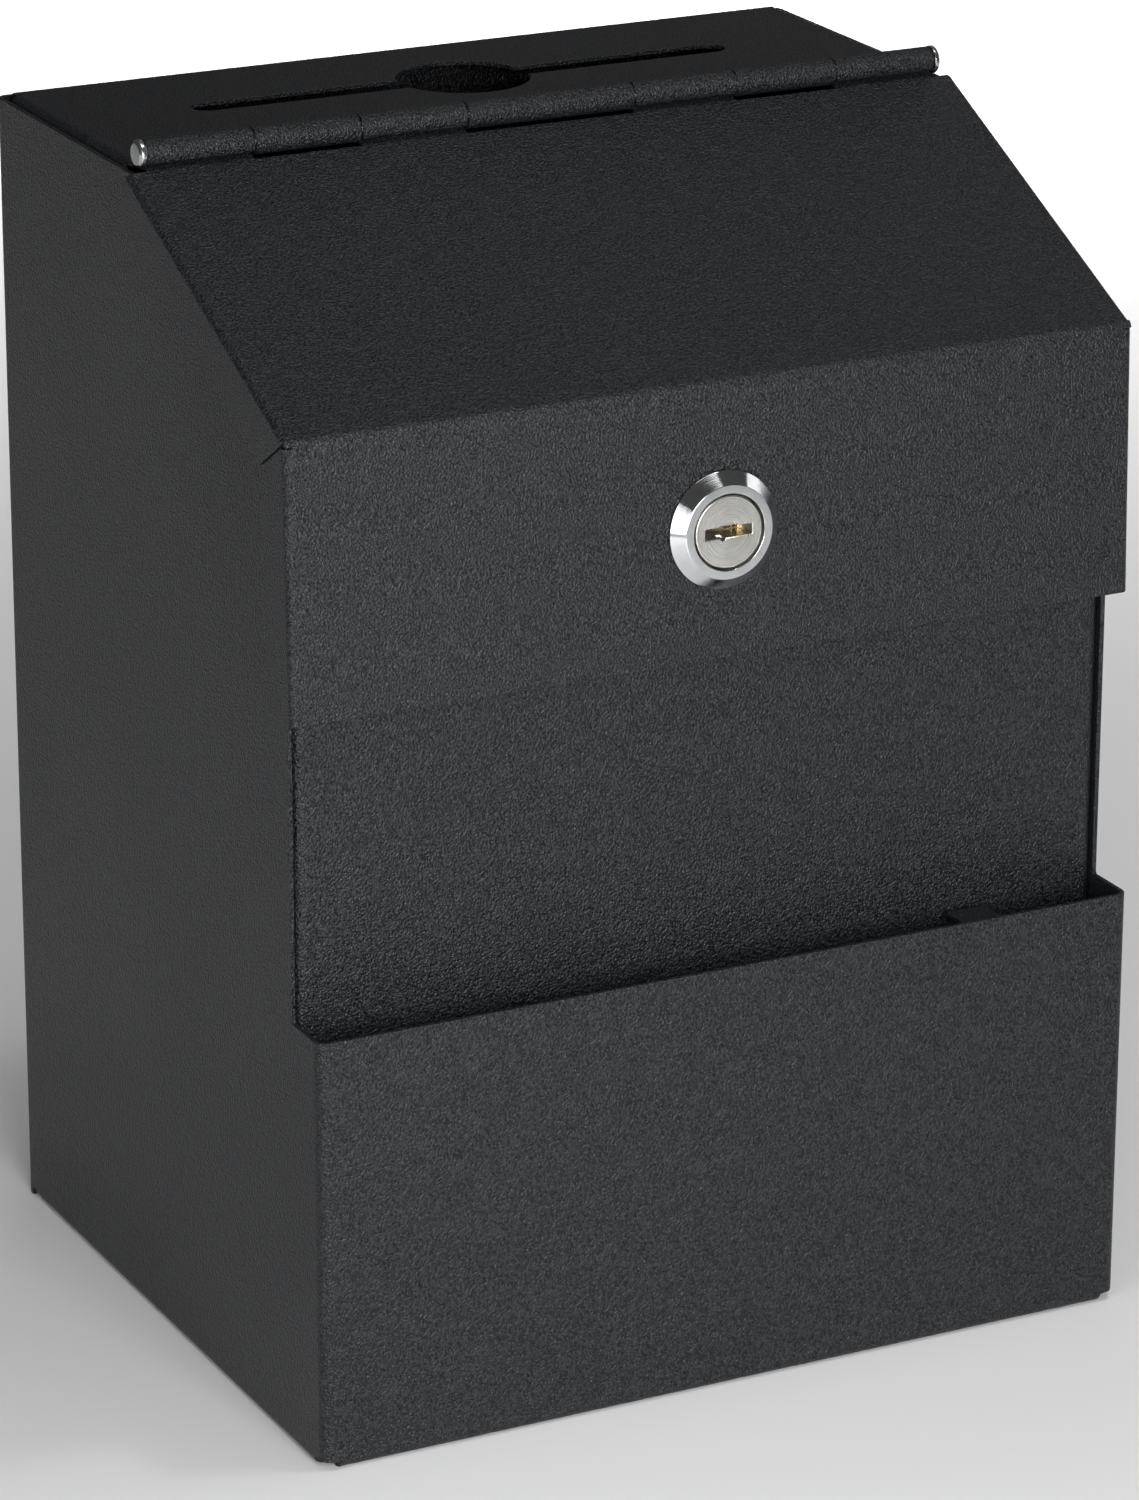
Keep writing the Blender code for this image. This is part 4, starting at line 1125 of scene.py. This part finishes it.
    def plug(self) -> bpy.types.Object:
        """Turning plug: eased face, flared keyway, thumb recess, wafer slots and square tail.

        Returns:
            The finished piece.
        """
        face, shoulder = self.plug_face, self.plug_face - self.plug_face_t
        end = -self.body_length - 0.1 * MM
        tail_end = -self.body_length - 3.3 * MM
        loop = eased([(0, face, 0), (self.plug_face_r, face, 0.22 * MM), (self.plug_face_r, shoulder, 0.1 * MM),
                      (self.plug_r, shoulder, 0), (self.plug_r, end, 0.3 * MM), (0, end, 0)], 4)
        plug = turned_piece("lock_plug_keyed", loop, Matrix.Identity(4), 96)
        half_u, half_v, depth = self.keyway
        slots = []
        for index in range(self.wafers):
            level = -self.wafer_first - self.wafer_pitch * index
            near, far = level - self.wafer_t / 2 - 0.1 * MM, level + self.wafer_t / 2 + 0.1 * MM
            slots.append(prism("wafer_slot", boxy(9 * MM, self.wafer_half[1] + 0.1 * MM, 0.2 * MM), near, far))
            slots.append(prism("spring_pocket", boxy(2.6 * MM, 1.45 * MM, 0.1 * MM, (0, -2.45 * MM)),
                               level - 0.6 * MM, level + 0.6 * MM))
        recess = eased([(x, y, 0) for x, y in arc((0, 0), self.recess_r, 0, 180, 24)], 1)
        square = boxy(self.tail_half, self.tail_half, 0.3 * MM)
        carve(plug, "UNION", prism("plug_tail", square, tail_end, end + MM))
        carve(plug, "DIFFERENCE", *slots,
              prism("keyway", boxy(half_u, half_v, 0.25 * MM), -depth, face, 0.16 * MM),
              prism("ward", circle((-1.3 * MM, -half_v), 0.6 * MM, 20), face - 2.5 * MM, face, 0.08 * MM),
              prism("recess", recess, face - self.recess, face, 0.12 * MM),
              prism("screw_bore", circle((0, 0), 1.8 * MM, 24), tail_end - MM, tail_end + 5 * MM))
        return placed(plug, self.place)

    def row(self, rule: Recipe, geometry: Socket, first: float, shift: Feed) -> Socket:
        """Repeat a shape once for each wafer, a pitch apart, pushed to one side in turn.

        Args:
            rule: the tree to add to.
            geometry: the shape to repeat.
            first: depth of the first one.
            shift: how far each is pushed aside.

        Returns:
            The row's instances.
        """
        points = rule.node("GeometryNodeMeshLine", {
            "Count": self.wafers, "Start Location": (0.0, 0.0, -first), "Offset": (0.0, 0.0, -self.wafer_pitch)})
        number = rule.node("GeometryNodeInputIndex", {})
        parity = rule.calc("SUBTRACT", 1.0, rule.calc("MULTIPLY", rule.calc("MODULO", number, 2.0), 2.0))
        nudged = rule.node("GeometryNodeSetPosition", {
            "Geometry": points, "Offset": rule.spot(rule.calc("MULTIPLY", parity, shift))})
        return rule.node("GeometryNodeInstanceOnPoints", {"Points": nudged, "Instance": geometry})

    def wafer_row(self) -> bpy.types.Object:
        """Five stamped wafers, each with a window for the key and a lug for its spring.

        Returns:
            All five in one piece.
        """
        half_u, half_v = self.wafer_half
        lug = [(2.1 * MM, -half_v, 0.1 * MM), (2.1 * MM, -half_v - 1.1 * MM, 0.15 * MM),
               (1.5 * MM, -half_v - 1.1 * MM, 0.15 * MM), (1.5 * MM, -half_v, 0.1 * MM)]
        edge = [(half_u, half_v, 0.4 * MM), (half_u, -half_v, 0.4 * MM), *lug, (-half_u, -half_v, 0.4 * MM),
                (-half_u, half_v, 0.4 * MM)]
        window = boxy(*self.window_half, 0.25 * MM)
        wafer = Blank(eased(edge, 3), [window], [], self.wafer_t, 0.08 * MM, 2)
        thing = wafer.build("lock_wafer_row", Matrix.Identity(4))
        rule = Recipe("wafer_row", Shift=self.wafer_shift)
        made = self.row(rule, rule.start.outputs["Geometry"], self.wafer_first, rule.size("Shift"))
        return placed(rule.cook(thing, made), self.place)

    def spring_row(self) -> bpy.types.Object:
        """Five coil springs beside the wafers' lugs.

        Returns:
            All five in one piece.
        """
        shape = bmesh.new()
        thing = mesh_object("lock_spring_row", shape)
        rule = Recipe("spring_row", Coil=0.4 * MM, Wire=0.1 * MM, Length=3.9 * MM, Turns=6.0)
        coil = rule.node("GeometryNodeCurveSpiral", {
            "Resolution": 18, "Rotations": rule.size("Turns"), "Start Radius": rule.size("Coil"),
            "End Radius": rule.size("Coil"), "Height": rule.size("Length")})
        wire = rule.node("GeometryNodeCurvePrimitiveCircle", {"Resolution": 8, "Radius": rule.size("Wire")})
        tube = rule.node("GeometryNodeCurveToMesh", {"Curve": coil, "Profile Curve": wire, "Fill Caps": True})
        laid = rule.node("GeometryNodeTransform", {
            "Geometry": tube, "Translation": (-2.3 * MM, -3.15 * MM, 0.0), "Rotation": (0.0, RIGHT_ANGLE, 0.0)})
        made = self.row(rule, laid, self.wafer_first, 0.0)
        return placed(rule.cook(thing, made), self.place)

    def stop_washer(self) -> bpy.types.Object:
        """Washer with a square hole and a lug that limits the plug's turn.

        Returns:
            The finished piece.
        """
        radius, lug = self.stop_r, self.stop_lug
        edge = math.degrees(math.asin(lug / radius))
        loop = arc((0, 0), radius, 90 + edge, 360 - 2 * edge, 60) + [(lug, radius + lug), (-lug, radius + lug)]
        rounded_loop = eased([(u, v, 0.3 * MM if v > radius + 1e-6 else 0) for u, v in loop], 3)
        hole = boxy(self.hole_half, self.hole_half, 0.3 * MM)
        level = Matrix.Translation((0, 0, -self.body_length - self.fit - 0.5 * MM))
        return Blank(rounded_loop, [hole], [], 1.0 * MM, 0.15 * MM, 2).build("lock_stop_washer_stamped",
                                                                             self.place @ level)

    def cam(self) -> bpy.types.Object:
        """Flat cam with a square hole.

        Returns:
            The finished piece.
        """
        half, reach = self.cam_half, self.cam_reach
        tip = half * 0.8
        loop = eased([(u, v, 0) for u, v in arc((0, 0), half, 90, 180, 24)]
                     + [(reach, -tip, tip / 2), (reach, tip, tip / 2)], 8)
        hole = boxy(self.hole_half, self.hole_half, 0.3 * MM)
        level = Matrix.Translation((0, 0, -self.body_length - 2 * self.fit - 2.0 * MM))
        return Blank(loop, [hole], [], self.cam_t, 0.3 * MM, 3).build("lock_cam_stamped", self.place @ level)

    def star_washer(self) -> bpy.types.Object:
        """Toothed lock washer under the screw's head.

        Returns:
            The finished piece.
        """
        high = -self.body_length - 3.9 * MM
        low, bore, ring_r = high - 0.6 * MM, 2.1 * MM, 3.7 * MM
        loop = eased([(bore, high, 0.1 * MM), (ring_r, high, 0.1 * MM), (ring_r, low, 0.1 * MM),
                      (bore, low, 0.1 * MM)], 2)
        thing = turned_piece("lock_star_washer_toothed", loop, Matrix.Identity(4), 48)
        rule = Recipe("washer_teeth", Ring=4.1 * MM, Middle=(low + high) / 2, Twist=0.32)
        tooth = rule.node("GeometryNodeMeshCube", {"Size": (1.3 * MM, 1.0 * MM, 0.32 * MM)})
        spots = rule.node("GeometryNodeMeshCircle", {"Vertices": 12, "Radius": rule.size("Ring")})
        bearing = rule.calc("MULTIPLY", rule.node("GeometryNodeInputIndex", {}), 2 * math.pi / 12)
        teeth = rule.node("GeometryNodeInstanceOnPoints", {
            "Points": spots, "Instance": tooth, "Rotation": rule.spot(rule.size("Twist"), 0.0, bearing)})
        lowered = rule.node("GeometryNodeTransform", {
            "Geometry": teeth, "Translation": rule.spot(0.0, 0.0, rule.size("Middle"))})
        joined = rule.tree.nodes.new("GeometryNodeJoinGeometry")
        rule.tree.links.new(lowered, joined.inputs[0])
        rule.tree.links.new(rule.start.outputs["Geometry"], joined.inputs[0])
        return placed(rule.cook(thing, joined.outputs[0]), self.place)

    def screw(self) -> bpy.types.Object:
        """Pan-head screw with a tapered cross recess.

        Returns:
            The finished piece.
        """
        seat = -self.body_length - 4.8 * MM
        low, tip = seat - 2.4 * MM, seat + 7.0 * MM
        loop = eased([(0, tip, 0), (1.4 * MM, tip, 0.1 * MM), (1.9 * MM, tip - 0.5 * MM, 0), (1.9 * MM, seat, 0),
                      (4.2 * MM, seat, 0.15 * MM), (4.2 * MM, low + 1.1 * MM, 0.9 * MM),
                      (2.6 * MM, low, 0.8 * MM), (0, low, 0)], 5)
        screw = turned_piece("lock_screw_headed", loop, Matrix.Identity(4), 48)
        for half_u, half_v in ((2.3 * MM, 0.45 * MM), (0.45 * MM, 2.3 * MM)):
            rings = [[Vector((u * grow, v * grow, level)) for u, v in boxy(half_u, half_v, 0.1 * MM)]
                     for level, grow in ((low - MM, 1.15), (low + 1.5 * MM, 0.6))]
            carve(screw, "DIFFERENCE", solid("cross", rings))
        return placed(screw, self.place)


# --- finishes ------------------------------------------------------------------------------------
class Nodes:
    """A small helper that adds and joins shader nodes."""

    def __init__(self, name: str) -> None:
        """Start a material with its Principled shader.

        Args:
            name: of the material.
        """
        self.material = bpy.data.materials.new(name)
        self.material.use_nodes = True
        self.tree = self.material.node_tree
        self.shader = self.tree.nodes["Principled BSDF"]
        self.place = self.add("ShaderNodeTexCoord").outputs["Object"]

    def add(self, kind: str, **settings: str) -> bpy.types.Node:
        """Add a node and set its properties.

        Args:
            kind: type of the node.
            settings: its properties.

        Returns:
            The node.
        """
        node = self.tree.nodes.new(kind)
        for key, value in settings.items():
            setattr(node, key, value)
        return node

    def feed(self, node: bpy.types.Node, socket: str | int, source: Feed) -> None:
        """Set a socket to a number or colour, or join it to an output.

        Args:
            node: the node.
            socket: name or number of its input.
            source: a value or an output.
        """
        if isinstance(source, bpy.types.NodeSocket):
            self.tree.links.new(source, node.inputs[socket])
        else:
            node.inputs[socket].default_value = source

    def noise(self, scale: float, detail: float) -> Socket:
        """Fractal noise of a given number of grains per metre.

        Args:
            scale: grains per metre.
            detail: octaves.

        Returns:
            A value round 0.5.
        """
        node = self.add("ShaderNodeTexNoise")
        self.feed(node, "Vector", self.place)
        self.feed(node, "Scale", scale)
        self.feed(node, "Detail", detail)
        return node.outputs["Fac"]

    def sum(self, one: Feed, two: Feed, operation: str = "ADD") -> Socket:
        """Combine two values.

        Args:
            one: first value.
            two: second value.
            operation: what to do with them.

        Returns:
            The result.
        """
        node = self.add("ShaderNodeMath", operation=operation)
        self.feed(node, 0, one)
        self.feed(node, 1, two)
        return node.outputs[0]

    def spread(self, source: Socket, low: float, high: float) -> Socket:
        """Map a texture's middle range onto another range.

        Args:
            source: the texture.
            low: value at the range's start.
            high: value at its end.

        Returns:
            The new value.
        """
        node = self.add("ShaderNodeMapRange")
        self.feed(node, "Value", source)
        for socket, value in (("From Min", 0.3), ("From Max", 0.7), ("To Min", low), ("To Max", high)):
            self.feed(node, socket, value)
        return node.outputs["Result"]

    def mix(self, factor: Socket, one: Colour, two: Colour) -> Socket:
        """Blend two colours.

        Args:
            factor: share of the second colour.
            one: first colour.
            two: second colour.

        Returns:
            The blend.
        """
        node = self.add("ShaderNodeMix", data_type="RGBA")
        self.feed(node, "Factor", factor)
        self.feed(node, 6, (*one, 1.0))
        self.feed(node, 7, (*two, 1.0))
        return node.outputs[2]

    def bump(self, height: Socket, distance: float) -> Socket:
        """Add relief of a given depth in metres.

        Args:
            height: the relief.
            distance: its depth in metres.

        Returns:
            The new normal.
        """
        node = self.add("ShaderNodeBump")
        self.feed(node, "Height", height)
        self.feed(node, "Distance", distance)
        self.feed(node, "Strength", 1.0)
        return node.outputs["Normal"]

    def from_axis(self, centre: Vector, axis: Vector) -> Socket:
        """Distance of a point from an axis, in metres.

        Args:
            centre: a point on the axis.
            axis: its direction.

        Returns:
            The distance.
        """
        away = self.add("ShaderNodeVectorMath", operation="SUBTRACT")
        self.feed(away, 0, self.place)
        self.feed(away, 1, centre)
        across = self.add("ShaderNodeVectorMath", operation="CROSS_PRODUCT")
        self.feed(across, 0, away.outputs[0])
        self.feed(across, 1, axis)
        length = self.add("ShaderNodeVectorMath", operation="LENGTH")
        self.feed(length, 0, across.outputs[0])
        return length.outputs["Value"]


@dataclass(frozen=True)
class PowderCoat:
    """Black fine-texture powder coat on steel sheet.

    Attributes:
        dark: colour in the grain's hollows.
        light: colour on its tops.
        grain: grains per metre.
        depth: height of the grain in metres.
        rough_low: roughness of the smoother patches.
        rough_high: roughness of the duller patches.
    """

    dark: tuple[float, float, float] = (0.0020, 0.0022, 0.0026)
    light: tuple[float, float, float] = (0.0230, 0.0248, 0.0290)
    grain: float = 2200.0
    depth: float = 0.33 * MM
    rough_low: float = 0.34
    rough_high: float = 0.37

    def material(self, name: str) -> bpy.types.Material:
        """Make the finish for one piece.

        Args:
            name: of the material.

        Returns:
            The material.
        """
        made = Nodes(name)
        fine = made.noise(self.grain, 0.0)
        cell = made.add("ShaderNodeTexVoronoi", feature="SMOOTH_F1")
        made.feed(cell, "Vector", made.place)
        made.feed(cell, "Scale", self.grain * 1.5)
        made.feed(cell, "Smoothness", 0.7)
        soft = made.noise(14.0, 1.0)
        height = made.sum(fine, made.sum(cell.outputs["Distance"], 0.5, "MULTIPLY"), "SUBTRACT")
        made.feed(made.shader, "Base Color", made.mix(made.spread(fine, 0, 1), self.dark, self.light))
        made.feed(made.shader, "Roughness", made.spread(soft, self.rough_low, self.rough_high))
        made.feed(made.shader, "Normal", made.bump(height, self.depth))
        made.feed(made.shader, "IOR", 1.4)
        return made.material


@dataclass(frozen=True)
class TurnedMetal:
    """Bright metal with the fine rings that turning and polishing leave round an axis.

    Attributes:
        colour: of the metal.
        rough_low: roughness where it is cleanest.
        rough_high: roughness in the turning lines.
        rings: lines per metre of radius.
        depth: of the lines in metres.
        centre: a point on the axis.
        axis: direction of the axis.
    """

    colour: tuple[float, float, float]
    rough_low: float
    rough_high: float
    rings: float
    depth: float
    centre: Vector
    axis: Vector

    def material(self, name: str) -> bpy.types.Material:
        """Make the finish for one piece.

        Args:
            name: of the material.

        Returns:
            The material.
        """
        made = Nodes(name)
        line = made.add("ShaderNodeTexNoise", noise_dimensions="1D")
        made.feed(line, "W", made.from_axis(self.centre, self.axis))
        made.feed(line, "Scale", self.rings)
        made.feed(line, "Detail", 2.0)
        cloud = made.noise(350.0, 3.0)
        darker = tuple(value * 0.86 for value in self.colour)
        made.feed(made.shader, "Base Color", made.mix(made.spread(cloud, 0, 1), self.colour, darker))
        made.feed(made.shader, "Metallic", 1.0)
        made.feed(made.shader, "Roughness", made.spread(line.outputs["Fac"], self.rough_low, self.rough_high))
        made.feed(made.shader, "Normal", made.bump(line.outputs["Fac"], self.depth))
        return made.material


@dataclass(frozen=True)
class PlatedSteel:
    """Bright zinc or brass, faintly mottled and grained.

    Attributes:
        colour: of the plating.
        tint: of its duller patches.
        rough_low: roughness of the bright patches.
        rough_high: roughness of the dull ones.
        grain: grains per metre.
        depth: of the grain in metres.
    """

    colour: tuple[float, float, float] = (0.56, 0.57, 0.58)
    tint: tuple[float, float, float] = (0.44, 0.45, 0.44)
    rough_low: float = 0.22
    rough_high: float = 0.37
    grain: float = 1800.0
    depth: float = 0.006 * MM

    def material(self, name: str) -> bpy.types.Material:
        """Make the finish for one piece.

        Args:
            name: of the material.

        Returns:
            The material.
        """
        made = Nodes(name)
        cloud, grain = made.noise(260.0, 4.0), made.noise(self.grain, 3.0)
        made.feed(made.shader, "Base Color", made.mix(made.spread(cloud, 0, 1), self.colour, self.tint))
        made.feed(made.shader, "Metallic", 1.0)
        made.feed(made.shader, "Roughness", made.spread(cloud, self.rough_low, self.rough_high))
        made.feed(made.shader, "Normal", made.bump(grain, self.depth))
        return made.material


@dataclass(frozen=True)
class StudioFloor:
    """Pale matt floor."""

    colour: tuple[float, float, float] = (0.90, 0.90, 0.90)

    def material(self, name: str) -> bpy.types.Material:
        """Make the floor's finish.

        Args:
            name: of the material.

        Returns:
            The material.
        """
        made = Nodes(name)
        shade = tuple(value * 0.97 for value in self.colour)
        made.feed(made.shader, "Base Color", made.mix(made.noise(6.0, 3.0), self.colour, shade))
        made.feed(made.shader, "Roughness", 0.9)
        made.feed(made.shader, "Specular IOR Level", 0.1)
        return made.material


Finish = PowderCoat | TurnedMetal | PlatedSteel | StudioFloor


# --- studio --------------------------------------------------------------------------------------
@dataclass(frozen=True)
class Softbox:
    """A rectangular soft light that faces a point."""

    name: str
    place: tuple[float, float, float]
    width: float
    height: float
    watts: float
    aim: tuple[float, float, float] = (0.0, 0.0, 0.12)
    spread: float = 180.0

    def build(self) -> bpy.types.Object:
        """Hang the light.

        Returns:
            The light.
        """
        data = bpy.data.lights.new(self.name, "AREA")
        data.shape, data.size, data.size_y, data.energy = "RECTANGLE", self.width, self.height, self.watts
        data.spread = math.radians(self.spread)
        lamp = bpy.data.objects.new(self.name, data)
        lamp.location = self.place
        lamp.rotation_euler = (Vector(self.aim) - Vector(self.place)).to_track_quat("-Z", "Y").to_euler()
        bpy.context.scene.collection.objects.link(lamp)
        return lamp


@dataclass
class Studio:
    """Camera, pale floor and soft light round the box."""

    lens: float = 148.25
    sensor: float = 36.0
    camera_place: tuple[float, float, float] = (-0.5469, -1.0808, 0.5497)
    azimuth: float = -26.92
    elevation: float = 19.85
    roll: float = 0.15
    world: float = 0.06
    floor_half: float = 6.0
    lights: tuple[Softbox, ...] = (
        Softbox("softbox_overhead", (0.0, -0.4, 2.2), 1.2, 1.2, 8.0),
        Softbox("softbox_right", (2.2, -0.2, 0.9), 1.2, 1.2, 5.5),
        Softbox("softbox_back_right", (1.5, 1.7, 1.6), 1.2, 1.2, 0.8),
        Softbox("softbox_front", (-0.16, -0.75, 0.3), 0.4, 0.4, 5.2, (-0.05, -0.06, 0.12)),
        Softbox("softbox_side", (-0.62, -0.4, 0.3), 0.3, 0.5, 1.3, (-0.09, -0.04, 0.1)),
        Softbox("hard_light_above", (0.3, -0.25, 1.3), 0.12, 0.12, 1.6, (0.0, -0.03, 0.22)),
        Softbox("floor_light_behind", (1.1, 1.6, 2.0), 1.6, 1.6, 30.0, (1.1, 1.6, 0.0), 62.0),
        Softbox("floor_light_left", (-1.7, -0.5, 1.6), 1.2, 1.2, 5.0, (-1.7, -0.5, 0.0), 62.0),
    )

    def build(self) -> None:
        """Set up the camera, the floor and the light."""
        data = bpy.data.cameras.new("camera")
        data.lens, data.sensor_width, data.sensor_fit = self.lens, self.sensor, "AUTO"
        data.clip_end = 50.0
        camera = bpy.data.objects.new("camera", data)
        turn = Matrix.Rotation(math.radians(self.azimuth), 4, "Z")
        tilt = Matrix.Rotation(RIGHT_ANGLE - math.radians(self.elevation), 4, "X")
        camera.matrix_world = (Matrix.Translation(self.camera_place) @ turn @ tilt
                               @ Matrix.Rotation(math.radians(self.roll), 4, "Z"))
        bpy.context.scene.collection.objects.link(camera)
        bpy.context.scene.camera = camera
        for light in self.lights:
            light.build()
        shape = bmesh.new()
        bmesh.ops.create_grid(shape, x_segments=8, y_segments=8, size=self.floor_half)
        floor = mesh_object("floor", shape)
        floor.data.materials.append(StudioFloor().material("floor_pale"))
        world = bpy.data.worlds.new("studio_air")
        world.use_nodes = True
        world.node_tree.nodes["Background"].inputs["Color"].default_value = (1, 1, 1, 1)
        world.node_tree.nodes["Background"].inputs["Strength"].default_value = self.world
        bpy.context.scene.world = world
        bpy.context.scene.view_settings.view_transform = "Standard"


def dress(piece: bpy.types.Object, finish: Finish, body: str, slot: str, *nodes: str) -> bpy.types.Object:
    """Give a finished piece its material and its body, and hide the CAD nodes that it stands for.

    Args:
        piece: a plain mesh in its place.
        finish: any finish with a material method.
        body: the CAD body that it rides on.
        slot: the record's material slot; not used.
        nodes: CAD nodes that it replaces.

    Returns:
        The piece.
    """
    piece.data.materials.clear()
    piece.data.materials.append(finish.material(f"{piece.name}_finish"))
    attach(piece, body)
    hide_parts(*nodes)
    LOG.info("%s rides on %s: %d faces", piece.name, body, len(piece.data.polygons))
    return piece


def main() -> None:
    """Build the box's pieces in order, then the studio."""
    logging.basicConfig(level=logging.INFO, format="%(message)s")
    box = BoxSizes()
    coat = PowderCoat()
    for maker, node in ((OuterShell, "outer_shell"), (TopAndBackPanel, "top_and_back_panel"),
                        (InnerFrontPanel, "inner_front_panel"), (BottomPanel, "bottom_panel"),
                        (PocketDivider, "pocket_divider")):
        dress(maker(box).build(), coat, "box", "powder_coat", node)
    dress(LidPanel(box).build(), coat, "lid", "powder_coat", "lid_panel")
    zinc, brass = PlatedSteel(), PlatedSteel((0.60, 0.45, 0.21), (0.42, 0.31, 0.14))
    pin_axis = Vector((1, 0, 0))
    bright = TurnedMetal((0.66, 0.67, 0.67), 0.16, 0.28, 7000.0, 0.003 * MM,
                         Vector((0, box.pin_y, box.pin_z)), pin_axis)
    dress(HingePin(box).build(), bright, "box", "bright_pin", "hinge_pin")
    joint = {j["name"]: j for j in frame["joints"]}["lock_turn"]
    centre, axis = Vector(joint["pos_m"]), Vector(joint["axis"])
    chrome = TurnedMetal((0.78, 0.79, 0.80), 0.06, 0.13, 6000.0, 0.009 * MM, centre, axis)
    satin = TurnedMetal((0.74, 0.73, 0.69), 0.24, 0.34, 5000.0, 0.003 * MM, centre, axis)
    lock = CamLock(centre, axis)
    numbers = range(1, lock.wafers + 1)
    dress(lock.housing(), chrome, "lid", "chrome_housing", "lock_housing")
    dress(lock.washer(), zinc, "lid", "zinc_fixings", "lock_washer")
    dress(lock.nut(), zinc, "lid", "zinc_fixings", "lock_nut")
    dress(lock.plug(), satin, "lock_core", "satin_plug", "lock_plug")
    dress(lock.wafer_row(), brass, "lock_core", "brass_wafers", *(f"lock_wafer_{n}" for n in numbers))
    dress(lock.spring_row(), zinc, "lock_core", "zinc_fixings", *(f"lock_spring_{n}" for n in numbers))
    for part, node in ((lock.stop_washer, "lock_stop_washer"), (lock.cam, "lock_cam"),
                       (lock.star_washer, "lock_star_washer"), (lock.screw, "lock_screw")):
        dress(part(), zinc, "lock_core", "zinc_fixings", node)
    Studio().build()


if __name__ == "__main__":
    main()
